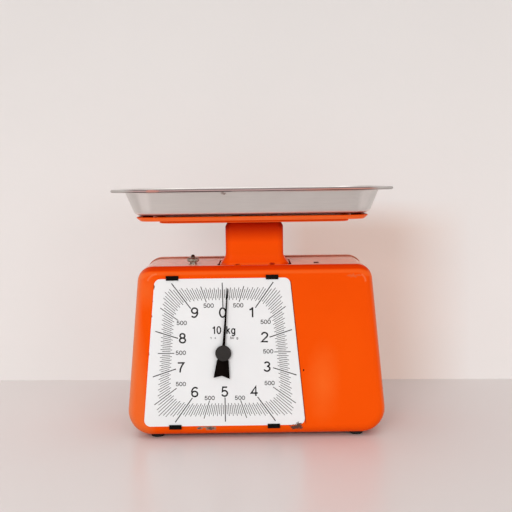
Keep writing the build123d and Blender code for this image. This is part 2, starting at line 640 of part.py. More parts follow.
def make_rack():
    """Teeth point at the pinion; a gap faces the pinion's tooth at rest."""
    slope = tan(radians(PRESSURE_DEG))
    half = (RACK_PITCH / 2 - BACKLASH / 2) / 2
    root_x = RACK_PITCH_X + TOOTH_DEPTH_BELOW
    tip_x = RACK_PITCH_X - RACK_ADDENDUM
    back_x = RACK_PITCH_X + RACK_BACK
    points = [(back_x, RACK_LOW_Z - RACK_END), (root_x, RACK_LOW_Z - RACK_END)]
    count = round((RACK_HIGH_Z - RACK_LOW_Z) / RACK_PITCH)
    for k in range(count):
        z = RACK_LOW_Z + (k + 0.5) * RACK_PITCH
        root_half = half + slope * TOOTH_DEPTH_BELOW
        tip_half = half - slope * RACK_ADDENDUM
        points += [(root_x, z - root_half), (tip_x, z - tip_half)]
        points += [(tip_x, z + tip_half), (root_x, z + root_half)]
    points += [(root_x, RACK_HIGH_Z + RACK_END), (back_x, RACK_HIGH_Z + RACK_END)]
    rack = extrude(upright(CARRIER_Y) * polygon(points), RACK_DEPTH)
    for z in RACK_SCREW_Z:
        rack -= rod_y(SMALL_SCREW_R, RACK_SCREW_X, (CARRIER_Y - RACK_DEPTH + 2, CARRIER_Y + 1), z)
    return rack


def make_rack_screws():
    head_y = (CARRIER_Y + CARRIER_SHEET, CARRIER_Y + CARRIER_SHEET + SMALL_HEAD)
    screws = []
    for z in RACK_SCREW_Z:
        shank = rod_y(SMALL_SCREW_R, RACK_SCREW_X, (CARRIER_Y - RACK_DEPTH + 2, head_y[0]), z)
        screws.append(shank + rod_y(SMALL_HEAD_R, RACK_SCREW_X, head_y, z))
    return screws


# ---------------------------------------------------------------- linkage
def make_chassis():
    """Floor plate and the upright tower that carries the rear pivots."""
    floor_front = INNER_FRONT_Y + CHASSIS_FRONT_GAP
    half = TOWER_HALF_WIDTH
    chassis = block((-CHASSIS_HALF_WIDTH, CHASSIS_HALF_WIDTH), (floor_front, WEB_Y), (INNER_FLOOR_Z, CHASSIS_TOP_Z))
    chassis += block((-half, half), (WEB_Y - CHASSIS_SHEET, WEB_Y), (INNER_FLOOR_Z, TOWER_TOP_Z))
    cheek = block((half - CHASSIS_SHEET, half), (WEB_Y - TOWER_DEPTH, WEB_Y), (INNER_FLOOR_Z, TOWER_TOP_Z))
    corner = cheek.edges().filter_by(Axis.X).group_by(Axis.Z)[-1].sort_by(Axis.Y)[0]
    cheek = fillet(corner, TOWER_HEAD)
    chassis += cheek + mirror(cheek, Plane.YZ)
    for z in REAR_PIVOT_Z:
        chassis -= rod_x(PIVOT_R, (-half - 1, half + 1), REAR_PIVOT_Y, z)
    for x, y in chassis_screw_places():
        chassis -= rod_z(SCREW_R, x, y, (INNER_FLOOR_Z - 1, CHASSIS_TOP_Z + 1))
    for x in (-COVER_SCREW_X, COVER_SCREW_X):
        chassis -= rod_y(SCREW_R, x, (WEB_Y - CHASSIS_SHEET - 1, WEB_Y + 1), COVER_SCREW_Z)
    return chassis


def make_chassis_screws():
    screws = []
    for x, y in chassis_screw_places():
        head = rod_z(SCREW_HEAD_R, x, y, (FLOOR_Z - SCREW_HEAD, FLOOR_Z))
        head = fillet(head.edges().sort_by(Axis.Z)[0], SCREW_HEAD / 2)
        screws.append(head + rod_z(SCREW_R, x, y, (FLOOR_Z, CHASSIS_TOP_Z + NUT_THICK + 1)))
    return screws


def make_chassis_nuts():
    span = (CHASSIS_TOP_Z, CHASSIS_TOP_Z + NUT_THICK)
    return [hexagon_nut(SCREW_R, span, x, y) for x, y in chassis_screw_places()]


def make_link(rear_z):
    """Two arms with eyes and the web between them, tilted up to the front."""
    outer = LINK_HALF_WIDTH
    inner = outer - LINK_SHEET
    arm = rod_x(LINK_EYE_R, (inner, outer), 0, 0) + rod_x(LINK_EYE_R, (inner, outer), -LINK_LENGTH, 0)
    arm += block((inner, outer), (-LINK_LENGTH, 0), (-LINK_EYE_R, LINK_EYE_R))
    link = arm + mirror(arm, Plane.YZ)
    web_z = (LINK_EYE_R - LINK_SHEET, LINK_EYE_R)
    link += block((-outer, outer), (-LINK_WEB[1], -LINK_WEB[0]), web_z)
    for y in (0, -LINK_LENGTH):
        link -= rod_x(PIVOT_R + PIVOT_PLAY, (-outer - 1, outer + 1), y, 0)
    return Pos(0, REAR_PIVOT_Y, rear_z) * Rot(-degrees(LINK_TILT), 0, 0) * link


def pins(half_length, y, heights):
    return [rod_x(PIVOT_R, (-half_length, half_length), y, z) for z in heights]


def pin_clips(inner_x, y, heights):
    clips = []
    for z in heights:
        span = (inner_x, inner_x + PIN_CLIP)
        clip = rod_x(PIN_CLIP_R, span, y, z) - rod_x(PIVOT_R, (span[0] - 1, span[1] + 1), y, z)
        clips += both_sides(clip)
    return clips


REAR_PIN_CLIP_X = TOWER_HALF_WIDTH
FRONT_PIN_CLIP_X = LINK_HALF_WIDTH + 0.2


def make_carrier():
    """The upright channel that hangs between the links and holds the stem."""
    half = CARRIER_HALF_WIDTH
    top_z = STEM_TOP_Z - STEM_SHEET
    web_y = (CARRIER_Y, CARRIER_Y + CARRIER_SHEET)
    carrier = block((-half, half), web_y, (CARRIER_LOW_Z, top_z))
    cheek = block((half - CARRIER_SHEET, half), (CARRIER_Y, CARRIER_BACK_Y), (CARRIER_LOW_Z, top_z))
    carrier += cheek + mirror(cheek, Plane.YZ)
    for low in (CARRIER_LOW_Z, top_z - CARRIER_SHEET):
        carrier += block((-half, half), (CARRIER_Y, CARRIER_BACK_Y), (low, low + CARRIER_SHEET))
    tab_z = (RACK_LOW_Z - RACK_END, RACK_HIGH_Z + RACK_END)
    carrier += block((-half - CARRIER_TAB, -half), web_y, tab_z)
    for z in FRONT_PIVOT_Z:
        carrier -= rod_x(PIVOT_R, (-half - 1, half + 1), FRONT_PIVOT_Y, z)
    for z in RACK_SCREW_Z:
        carrier -= rod_y(SMALL_SCREW_R, RACK_SCREW_X, (CARRIER_Y - 1, web_y[1] + 1), z)
    for x in (-PLATFORM_SCREW_X, PLATFORM_SCREW_X):
        carrier -= rod_z(SCREW_R, x, PLATFORM_SCREWS_Y, (top_z - CARRIER_SHEET - 1, top_z + 1))
        carrier -= rod_z(SMALL_SCREW_R, x, BAR_RIVET_Y, (CARRIER_LOW_Z - 1, CARRIER_LOW_Z + CARRIER_SHEET + 1))
    return carrier


def make_spring_bar():
    half_x = SPRING_X + SPRING_BAR_END
    bar = slab(half_x, SPRING_BAR_DEPTH / 2, SPRING_BAR_CORNER_R, (BAR_LOW_Z, CARRIER_LOW_Z), SPRING_Y)
    for x in (SPRING_BAR_HOLE_IN - SPRING_X, SPRING_X - SPRING_BAR_HOLE_IN):
        bar -= rod_z(SPRING_BAR_HOLE_R, x, SPRING_Y, (BAR_LOW_Z - 1, CARRIER_LOW_Z + 1))
    for x in (-PLATFORM_SCREW_X, PLATFORM_SCREW_X):
        bar -= rod_z(SMALL_SCREW_R, x, BAR_RIVET_Y, (BAR_LOW_Z - 1, CARRIER_LOW_Z + 1))
    return bar


def make_bar_rivets():
    top_z = CARRIER_LOW_Z + CARRIER_SHEET
    rivets = []
    for x in (-PLATFORM_SCREW_X, PLATFORM_SCREW_X):
        rivet = rod_z(SMALL_SCREW_R, x, BAR_RIVET_Y, (BAR_LOW_Z, top_z))
        rivet += rod_z(SMALL_HEAD_R, x, BAR_RIVET_Y, (BAR_LOW_Z - SMALL_HEAD, BAR_LOW_Z))
        rivets.append(rivet + rod_z(SMALL_HEAD_R, x, BAR_RIVET_Y, (top_z, top_z + SMALL_HEAD)))
    return rivets


# ---------------------------------------------------------------- springs
def make_spring(x):
    """A close-wound coil, ribbed by its turns, on long ends with a round hook on each."""
    low_hook_z = BAR_LOW_Z + HOOK_SEAT
    high_hook_z = EYE_Z - HOOK_R
    middle_z = (low_hook_z + high_hook_z) / 2
    coil_low = middle_z - COIL_TURNS * WIRE_R
    coil_high = middle_z + COIL_TURNS * WIRE_R
    rib_root = COIL_R + COIL_RIB_ROOT
    edge = Line((COIL_R - WIRE_R, coil_high), (COIL_R - WIRE_R, coil_low))
    outline = [edge, Line(edge @ 1, (rib_root, coil_low))]
    for turn in range(COIL_TURNS):
        z = coil_low + (2 * turn + 1) * WIRE_R
        start = (rib_root, z - WIRE_R)
        outline.append(ThreePointArc(start, (COIL_R + WIRE_R, z), (rib_root, z + WIRE_R)))
    outline.append(Line((rib_root, coil_high), edge @ 0))
    coil = revolve(upright(0) * make_face(outline), axis=Axis.Z)
    spring = Pos(x, SPRING_Y, 0) * coil
    for hook_z, end_z, way in ((low_hook_z, coil_low, 1), (high_hook_z, coil_high, -1)):
        hook = Pos(x, SPRING_Y, hook_z) * Rot(90, 0, 0) * Torus(HOOK_R, WIRE_R)
        cross_z = end_z + way * CROSS_WIRE_INSIDE
        shank_z = sorted((hook_z + way * HOOK_R, cross_z))
        spring += rod_x(WIRE_R, (x - COIL_R, x + COIL_R), SPRING_Y, cross_z)
        spring += hook + rod_z(SHANK_R, x, SPRING_Y, shank_z)
    return spring


def eye_slot(x, travel):
    """The hole that an upper hook passes through."""
    half_z = WIRE_R + travel
    half_y = WIRE_R + 0.4
    tab_half = STUD_TAB[0]
    low = (x - tab_half, x + tab_half)
    return block(low, (SPRING_Y - half_y, SPRING_Y + half_y), (EYE_Z - half_z, EYE_Z + half_z))


def hanger(x, top_z, travel):
    """A rod that ends below in a flat tab with a slot for the hook."""
    tab_x = (x - STUD_TAB[0] / 2, x + STUD_TAB[0] / 2)
    tab_z = (EYE_Z - STUD_TAB[2] / 2, EYE_Z + STUD_TAB[2] / 2)
    tab = block(tab_x, (SPRING_Y - STUD_TAB[1] / 2, SPRING_Y + STUD_TAB[1] / 2), tab_z)
    body = tab + rod_z(STUD_R, x, SPRING_Y, (tab_z[1] - 1, top_z))
    return body - eye_slot(x, travel)


def make_zero_stud():
    tip_z = TOP_Z + STUD_PROUD
    stud = hanger(-SPRING_X, tip_z, STUD_TRAVEL + STUD_SLOT_PLAY)
    tip = stud.edges().filter_by(GeomType.CIRCLE).sort_by(Axis.Z)[-1]
    return fillet(tip, STUD_R * 0.9)


def make_spring_anchor():
    anchor = hanger(SPRING_X, TOP_Z, 0.2)
    return anchor + rod_z(ANCHOR_HEAD_R, SPRING_X, SPRING_Y, (TOP_Z, TOP_Z + ANCHOR_HEAD))


def make_zero_washer():
    washer = rod_z(WASHER_R, -SPRING_X, SPRING_Y, (TOP_Z, TOP_Z + WASHER))
    return washer - rod_z(STUD_R + STUD_HOLE_PLAY, -SPRING_X, SPRING_Y, (TOP_Z - 1, TOP_Z + WASHER + 1))


def make_zero_nut():
    """A round knurled nut on a narrower boss."""
    low = TOP_Z + WASHER + 0.05
    middle = low + NUT_BOSS
    boss = rod_z(NUT_BOSS_R, -SPRING_X, SPRING_Y, (low, middle))
    head = rod_z(NUT_R, -SPRING_X, SPRING_Y, (middle, middle + NUT_HEIGHT))
    head = chamfer(head.edges().filter_by(GeomType.CIRCLE), 0.8)
    nut = boss + head
    for k in range(KNURL_TEETH):
        angle = 2 * pi * k / KNURL_TEETH
        x = -SPRING_X + NUT_R * cos(angle)
        y = SPRING_Y + NUT_R * sin(angle)
        nut -= rod_z(KNURL_R, x, y, (middle - 1, middle + NUT_HEIGHT + 1))
    return nut - rod_z(STUD_R + NUT_PLAY, -SPRING_X, SPRING_Y, (low - 1, middle + NUT_HEIGHT + 1))


# ---------------------------------------------------------------- stem and platform
def stem_solid(shrink):
    """The stem's outside, or its inside when shrunk by the sheet thickness."""
    half = STEM_HALF_WIDTH - shrink
    half_y = STEM_DEPTH / 2 - shrink
    r = STEM_CORNER_R - shrink
    flare_top = TOP_Z + FLARE_HEIGHT
    top = STEM_TOP_Z - shrink
    body = slab(half, half_y, r, (flare_top, top), STEM_MID_Y)
    body = fillet(body.faces().sort_by(Axis.Z)[-1].edges(), STEM_TOP_R - shrink)
    sections = []
    for step in range(FLARE_STEPS + 1):
        down = step / FLARE_STEPS
        grow = down * down
        side = half + FLARE_SIDE * grow
        depth = half_y + FLARE_SIDE / 2 * grow
        plane = Plane(origin=(0, STEM_MID_Y, flare_top - FLARE_HEIGHT * down))
        sections.append(plane * rounded(side, depth, r + FLARE_SIDE / 2 * grow))
    body += loft(sections)
    skirt_r = r + FLARE_SIDE / 2
    low = TOP_Z - STEM_SKIRT - (1.0 if shrink else 0.0)
    body += slab(half + FLARE_SIDE, half_y + FLARE_SIDE / 2, skirt_r, (low, TOP_Z), STEM_MID_Y)
    return body


def platform_screw_holes(z):
    xs = (-PLATFORM_SCREW_X, PLATFORM_SCREW_X)
    return [rod_z(SCREW_R, x, PLATFORM_SCREWS_Y, z) for x in xs]


def make_stem():
    stem = stem_solid(0) - stem_solid(STEM_SHEET)
    for hole in platform_screw_holes((STEM_TOP_Z - STEM_SHEET - 1, STEM_TOP_Z + 1)):
        stem -= hole
    return stem


def make_underplate():
    """A shallow pressed plate between the stem and the pan."""
    half_x, half_y = UNDERPLATE_HALF
    low = STEM_TOP_Z
    high = STEM_TOP_Z + UNDERPLATE_HEIGHT
    plate = slab(half_x, half_y, UNDERPLATE_CORNER_R, (low, high))
    plate = fillet(plate.faces().sort_by(Axis.Z)[0].edges(), UNDERPLATE_SHEET)
    wall = UNDERPLATE_SHEET * 2
    plate -= slab(half_x - wall, half_y - wall, UNDERPLATE_CORNER_R - wall, (low + UNDERPLATE_SHEET, high + 1))
    rim = slab(STEM_HALF_WIDTH, STEM_DEPTH / 2, STEM_CORNER_R, (low + UNDERPLATE_SHEET, high), STEM_MID_Y)
    plate += rim
    for hole in platform_screw_holes((low - 1, high + 1)):
        plate -= hole
    return plate


def make_platform_pan():
    """The painted pan with an upturned, sloping rim."""
    floor_low = PAN_FLOOR_Z - PAN_SHEET
    rim_top = floor_low + PAN_HEIGHT
    half_x = PAN_HALF_RIM[0] - PAN_SPREAD
    half_y = PAN_HALF_RIM[1] - PAN_SPREAD
    bend = [(-PAN_FLOOR_LAP, floor_low), (0, floor_low), (PAN_SPREAD, rim_top)]
    profile = sheet_profile(bend, PAN_BEND_R, PAN_SHEET)
    pan = ring(profile, half_x, half_y, PAN_CORNER_R)
    inset = PAN_FLOOR_LAP - 0.1
    pan += slab(half_x - inset, half_y - inset, PAN_CORNER_R - inset, (floor_low, PAN_FLOOR_Z))
    pan = Pos(PAN_X, 0, 0) * pan
    for hole in platform_screw_holes((floor_low - 1, PAN_FLOOR_Z + 1)):
        pan -= hole
    return pan


def make_platform_screws():
    nut_low = STEM_TOP_Z - STEM_SHEET - CARRIER_SHEET - NUT_THICK
    screws = []
    for x in (-PLATFORM_SCREW_X, PLATFORM_SCREW_X):
        head = rod_z(SCREW_HEAD_R, x, PLATFORM_SCREWS_Y, (PAN_FLOOR_Z, PAN_FLOOR_Z + SCREW_HEAD))
        screws.append(head + rod_z(SCREW_R, x, PLATFORM_SCREWS_Y, (nut_low - 1, PAN_FLOOR_Z)))
    return screws


def make_platform_nuts():
    high = STEM_TOP_Z - STEM_SHEET - CARRIER_SHEET
    xs = (-PLATFORM_SCREW_X, PLATFORM_SCREW_X)
    return [hexagon_nut(SCREW_R, (high - NUT_THICK, high), x, PLATFORM_SCREWS_Y) for x in xs]


def make_tray_pads():
    out, deep = PAD_PLACE
    places = [(PAN_X + x, y) for x in (-out, out) for y in (-deep, deep)]
    return [rod_z(PAD_R, x, y, (PAN_FLOOR_Z, TRAY_FLOOR_Z)) for x, y in places]


def make_tray():
    """Pressed sheet: floor, curved wall, flat flange and a rolled bead at its edge."""
    mouth_x, mouth_y = TRAY_HALF_MOUTH
    top_z = TRAY_FLOOR_Z + TRAY_HEIGHT
    edge_z = top_z - TRAY_BEAD_R - TRAY_SHEET / 2
    floor_d = -TRAY_CORNER_R + 2.0
    edge_d = TRAY_FLANGE - TRAY_BEAD_R
    points = [
        (floor_d, TRAY_FLOOR_Z),
        (-TRAY_WALL_SPREAD, TRAY_FLOOR_Z),
        (0, edge_z - TRAY_FLANGE_RISE),
        (edge_d, edge_z),
    ]
    profile = sheet_profile(points, [TRAY_BEND_R, TRAY_LIP_BEND_R], TRAY_SHEET)
    profile += Pos(edge_d, top_z - TRAY_BEAD_R) * Circle(TRAY_BEAD_R)
    tray = ring(profile, mouth_x, mouth_y, TRAY_CORNER_R)
    inset = -floor_d - 0.1
    floor = (TRAY_FLOOR_Z, TRAY_FLOOR_Z + TRAY_SHEET)
    tray += slab(mouth_x - inset, mouth_y - inset, TRAY_CORNER_R - inset, floor)
    return Pos(PAN_X, 0, 0) * tray


# ---------------------------------------------------------------- all pieces
NODES = {
    "housing_shell": make_housing_shell,
    "rear_cover": make_rear_cover,
    "cover_screws": make_cover_screws,
    "cover_spacers": make_cover_spacers,
    "cover_nuts": make_cover_nuts,
    "rubber_feet": make_feet,
    "foot_screws": make_foot_screws,
    "foot_nuts": make_foot_nuts,
    "dial_plate": make_dial_plate,
    "dial_clips": make_dial_clips,
    "chassis": make_chassis,
    "chassis_screws": make_chassis_screws,
    "chassis_nuts": make_chassis_nuts,
    "bearing_bracket": make_bearing_bracket,
    "bracket_rivets": make_bracket_rivets,
    "front_bush": make_front_bush,
    "rear_bush": make_rear_bush,
    "pointer": make_pointer,
    "pointer_hub": make_pointer_hub,
    "pointer_shaft": make_pointer_shaft,
    "pinion": make_pinion,
    "lower_link": lambda: make_link(REAR_PIVOT_Z[0]),
    "upper_link": lambda: make_link(REAR_PIVOT_Z[1]),
    "rear_pivot_pins": lambda: pins(TOWER_HALF_WIDTH + PIN_END, REAR_PIVOT_Y, REAR_PIVOT_Z),
    "rear_pin_clips": lambda: pin_clips(REAR_PIN_CLIP_X, REAR_PIVOT_Y, REAR_PIVOT_Z),
    "front_pivot_pins": lambda: pins(LINK_HALF_WIDTH + PIN_END, FRONT_PIVOT_Y, FRONT_PIVOT_Z),
    "front_pin_clips": lambda: pin_clips(FRONT_PIN_CLIP_X, FRONT_PIVOT_Y, FRONT_PIVOT_Z),
    "carrier": make_carrier,
    "rack": make_rack,
    "rack_screws": make_rack_screws,
    "spring_bar": make_spring_bar,
    "bar_rivets": make_bar_rivets,
    "left_spring": lambda: make_spring(-SPRING_X),
    "right_spring": lambda: make_spring(SPRING_X),
    "zero_stud": make_zero_stud,
    "zero_nut": make_zero_nut,
    "zero_washer": make_zero_washer,
    "spring_anchor": make_spring_anchor,
    "stem": make_stem,
    "platform_underplate": make_underplate,
    "platform_pan": make_platform_pan,
    "platform_screws": make_platform_screws,
    "platform_nuts": make_platform_nuts,
    "tray_pads": make_tray_pads,
    "tray": make_tray,
}

TO_ORIGIN = Pos(-PAN_X, 0, 0)

os.makedirs("parts", exist_ok=True)
for name, maker in NODES.items():
    made = maker()
    if isinstance(made, list):
        made = Compound(children=[Solid((TO_ORIGIN * piece).solids()[0].wrapped) for piece in made])
    else:
        made = TO_ORIGIN * made
    export_step(made, f"parts/{name}.step")
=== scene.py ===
import json
from collections import namedtuple
from math import cos, pi, radians, sin, tan

import bmesh
import bpy
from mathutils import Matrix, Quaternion, Vector


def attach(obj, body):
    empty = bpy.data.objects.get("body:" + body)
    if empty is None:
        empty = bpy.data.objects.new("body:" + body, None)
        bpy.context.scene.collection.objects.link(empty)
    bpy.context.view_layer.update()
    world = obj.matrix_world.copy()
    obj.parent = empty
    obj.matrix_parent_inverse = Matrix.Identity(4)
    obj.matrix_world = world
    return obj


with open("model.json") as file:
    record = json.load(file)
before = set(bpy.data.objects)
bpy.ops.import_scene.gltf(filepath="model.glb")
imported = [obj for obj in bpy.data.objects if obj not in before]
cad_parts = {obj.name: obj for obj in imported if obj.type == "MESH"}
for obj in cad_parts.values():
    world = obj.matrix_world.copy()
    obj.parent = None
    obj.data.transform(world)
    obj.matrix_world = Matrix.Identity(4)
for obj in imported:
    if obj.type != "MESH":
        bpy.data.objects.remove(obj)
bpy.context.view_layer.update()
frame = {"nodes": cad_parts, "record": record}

MM = 0.001
MIDDLE_X_MM = 1.8             # middle of the housing's width, right of the origin
HOUSING_FRONT_MM = -50.0
DIAL_FRONT_MM = -50.8
nodes = frame["nodes"]


# ---------------------------------------------------------------- camera
CAMERA_PLACE = Vector((0.0033, -0.916, 0.2666))
CAMERA_PITCH = radians(-5.055)
CAMERA_ROLL = radians(-0.78)
LENS = 60.0
SENSOR = 36.0
NEAREST, FARTHEST = 0.01, 20.0


def make_camera():
    """The photograph's camera: a little above the dial, looking slightly down."""
    data = bpy.data.cameras.new("camera")
    data.lens = LENS
    data.sensor_width = SENSOR
    data.clip_start = NEAREST
    data.clip_end = FARTHEST
    camera = bpy.data.objects.new("camera", data)
    bpy.context.scene.collection.objects.link(camera)
    sight = Vector((0.0, 1.0, tan(CAMERA_PITCH))).normalized()
    camera.rotation_mode = "QUATERNION"
    camera.rotation_quaternion = Quaternion(sight, -CAMERA_ROLL) @ sight.to_track_quat("-Z", "Y")
    camera.location = CAMERA_PLACE
    bpy.context.scene.camera = camera


# ---------------------------------------------------------------- shader helper
def seen_directly(tree):
    """1 for rays from the camera, from gloss or through glass, in a material's or the world's nodes."""
    path = tree.nodes.new("ShaderNodeLightPath")
    seen = path.outputs["Is Camera Ray"]
    for kind in ("Is Glossy Ray", "Is Transmission Ray"):
        most = tree.nodes.new("ShaderNodeMath")
        most.operation = "MAXIMUM"
        tree.links.new(seen, most.inputs[0])
        tree.links.new(path.outputs[kind], most.inputs[1])
        seen = most.outputs[0]
    return seen


class Finish:
    """One procedural material, built from small steps. A mask is a value from 0 to 1 over the surface."""

    def __init__(self, name, metallic=0.0, **sockets):
        self.material = bpy.data.materials.new(name)
        self.material.use_nodes = True
        self.tree = self.material.node_tree
        self.shader = self.tree.nodes["Principled BSDF"]
        self.shader.inputs["Metallic"].default_value = metallic
        for label, value in sockets.items():
            self.shader.inputs[label.replace("_", " ")].default_value = value
        self.place = self.node("ShaderNodeTexCoord").outputs["Object"]
        self.normal = None

    def node(self, kind, **settings):
        made = self.tree.nodes.new(kind)
        for key, value in settings.items():
            setattr(made, key, value)
        return made

    def feed(self, socket, value):
        """Links another node's output to a socket, or sets a plain number or colour on it."""
        if isinstance(value, bpy.types.NodeSocket):
            self.tree.links.new(value, socket)
        elif isinstance(value, tuple) and len(value) == 3 and socket.type == "RGBA":
            socket.default_value = (*value, 1.0)
        else:
            socket.default_value = value

    def maths(self, operation, first, second=0.0, clamp=False):
        made = self.node("ShaderNodeMath", operation=operation, use_clamp=clamp)
        self.feed(made.inputs[0], first)
        self.feed(made.inputs[1], second)
        return made.outputs[0]

    def times(self, first, *others):
        """The product of values: for masks, where all of them hold."""
        for other in others:
            first = self.maths("MULTIPLY", first, other)
        return first

    def most(self, first, *others):
        """The largest of values: for masks, where any of them holds."""
        for other in others:
            first = self.maths("MAXIMUM", first, other)
        return first

    def without(self, mask):
        """Where a mask does not hold."""
        return self.maths("SUBTRACT", 1.0, mask)

    def vector(self, operation, first, second=(0.0, 0.0, 0.0)):
        made = self.node("ShaderNodeVectorMath", operation=operation)
        self.feed(made.inputs[0], first)
        self.feed(made.inputs[1], second)
        return made.outputs["Value" if operation == "LENGTH" else "Vector"]

    def noise(self, scale, detail=3.0, roughness=0.5, stretch=None):
        made = self.node("ShaderNodeTexNoise")
        place = self.vector("MULTIPLY", self.place, stretch) if stretch else self.place
        self.feed(made.inputs["Vector"], place)
        self.feed(made.inputs["Scale"], scale)
        self.feed(made.inputs["Detail"], detail)
        self.feed(made.inputs["Roughness"], roughness)
        return made.outputs["Fac"]

    def ease(self, value, low, high, to_low=0.0, to_high=1.0):
        """value taken from low..high to to_low..to_high, and held at the ends."""
        made = self.node("ShaderNodeMapRange", clamp=True)
        for label, number in (("From Min", low), ("From Max", high), ("To Min", to_low), ("To Max", to_high)):
            self.feed(made.inputs[label], number)
        self.feed(made.inputs["Value"], value)
        return made.outputs["Result"]

    def cloud(self, scale, detail):
        """Soft clouds from 0 to 1."""
        return self.ease(self.noise(scale, detail), 0.3, 0.7)

    def below(self, value, low, high):
        """1 up to low, fading to 0 at high."""
        return self.ease(value, low, high, 1.0, 0.0)

    def between(self, value, low, high, soft):
        """1 where value lies from low to high, fading over soft at each end."""
        return self.times(self.ease(value, low - soft, low), self.below(value, high, high + soft))

    def along(self, axis):
        """The surface's own x, y or z, in metres."""
        split = self.node("ShaderNodeSeparateXYZ")
        self.feed(split.inputs[0], self.place)
        return split.outputs[axis]

    def slope(self, axis):
        """How far the surface itself faces along x, y or z, from -1 to 1."""
        split = self.node("ShaderNodeSeparateXYZ")
        self.feed(split.inputs[0], self.node("ShaderNodeTexCoord").outputs["Normal"])
        return split.outputs[axis]

    def blotches(self, places, ragged, grain, soft):
        """1 inside ovals: each is x from the housing's middle, y, z and three half sizes, in mm.

        ragged is how far a noise of scale grain moves their edges, and soft the width of the fade, both as
        shares of the half sizes."""
        wobble = self.ease(self.noise(grain, 4.0, 0.65), 0.3, 0.7, -ragged, ragged)
        mask = None
        for x, y, z, rx, ry, rz in places:
            centre = tuple(-v * MM for v in (x + MIDDLE_X_MM, y, z))
            away = self.vector("ADD", self.place, centre)
            away = self.vector("DIVIDE", away, tuple(v * MM for v in (rx, ry, rz)))
            reach = self.maths("ADD", self.vector("LENGTH", away), wobble)
            inside = self.below(reach, 1.0 - soft, 1.0)
            mask = inside if mask is None else self.most(mask, inside)
        return mask

    def mix(self, share, first, second):
        made = self.node("ShaderNodeMix", data_type="RGBA")
        self.feed(made.inputs["Factor"], share)
        self.feed(made.inputs[6], first)
        self.feed(made.inputs[7], second)
        return made.outputs[2]

    def tint(self, base, mask, colour, share=None):
        """base with the colour laid over it where the mask holds, wholly or by a share."""
        if share is not None:
            mask = self.times(mask, share)
        return self.mix(mask, base, colour)

    def bump(self, height, depth, strength):
        """Raises the surface by height times depth metres, on top of what is there."""
        made = self.node("ShaderNodeBump")
        self.feed(made.inputs["Height"], height)
        self.feed(made.inputs["Distance"], depth)
        self.feed(made.inputs["Strength"], strength)
        if self.normal is not None:
            self.feed(made.inputs["Normal"], self.normal)
        self.normal = made.outputs["Normal"]
        self.feed(self.shader.inputs["Normal"], self.normal)

    def colour(self, value):
        self.feed(self.shader.inputs["Base Color"], value)

    def rough(self, value):
        self.feed(self.shader.inputs["Roughness"], value)


# ---------------------------------------------------------------- orange enamel
HOUSING_TOP = (0.168, 0.1815)              # heights of the housing's top with its rolled edge
TOP_FADE = 0.0006
HOUSING_END = (0.1815, 0.1820)             # heights over which the housing's masks end
NECK_TOP = (0.203, 0.219)                  # painted shade deepens the neck's top over these heights, under the pan
PAN_START = (0.2240, 0.2243)
ROLLED_SLOPES = (0.62, 0.985)              # how far the roll of the edge faces up
BELOW_EDGE_SLOPES = (0.22, 0.42)
IN_FRONT = (-0.040, -0.046)                # y over which masks for the housing's front begin
BEHIND_COVER_RIM = (0.030, 0.035)          # y over which the mask for the rear cover begins
LEFT_BAND_LEAN = 0.1                       # how far the painted highlight band on the left leans in for each metre up
LEFT_BAND_START = (-0.101, -0.112)
TURN_END = (0.950, 0.985)                  # sideways slopes over which the edge becomes the flat side
SIDE_SLOPE = (136.45 - 119.6) / 176.6      # how far the housing's sides lean in for each mm up
DIAL_RIGHT_MM = 53.5                       # x of the dial's right edge, carried down to the table
DIAL_SHADOW_WIDTH_MM = 0.9
DIAL_SHADOW_HEIGHTS = (0.018, 0.162)

ENAMEL, ENAMEL_LIGHT = (0.845, 0.074, 0.0010), (0.880, 0.088, 0.0018)
# Painted shade on the roll of the housing's top edge, and a painted highlight on the band below it.
ROLLED_EDGE_SHADE = (0.67, 0.036, 0.0006)
BELOW_EDGE_HIGHLIGHT = (0.88, 0.138, 0.018)
NECK_SHADE = (0.48, 0.012, 0.001)
NECK_CORNER_SHADE = (0.25, 0.008, 0.001)
PAN_RIM_LIGHT = (0.97, 0.155, 0.030)
LEFT_BAND_HIGHLIGHT = (0.81, 0.155, 0.030)
EDGE_HIGHLIGHT = (0.79, 0.27, 0.13)
LEFT_HIGHLIGHT = (0.86, 0.145, 0.024)
RIGHT_HIGHLIGHT = (0.90, 0.140, 0.016)
DUST_AND_REFLECTION_LEFT, DUST_AND_REFLECTION_RIGHT = (0.94, 0.80, 0.64), (0.93, 0.73, 0.55)
COVER_RIM = (0.46, 0.17, 0.105)
DIAL_EDGE_SHADOW = (0.16, 0.030, 0.006)
NOTCH_SHADE = (0.36, 0.016, 0.004)
NICK_AND_OPENING_SHADE = (0.020, 0.006, 0.004)
SCUFF = (0.62, 0.19, 0.075)
ARC_HIGHLIGHT = (0.90, 0.28, 0.11)
PRIMER = (0.34, 0.20, 0.14)
BARE_METAL = (0.105, 0.082, 0.078)
RUST = (0.115, 0.060, 0.045)

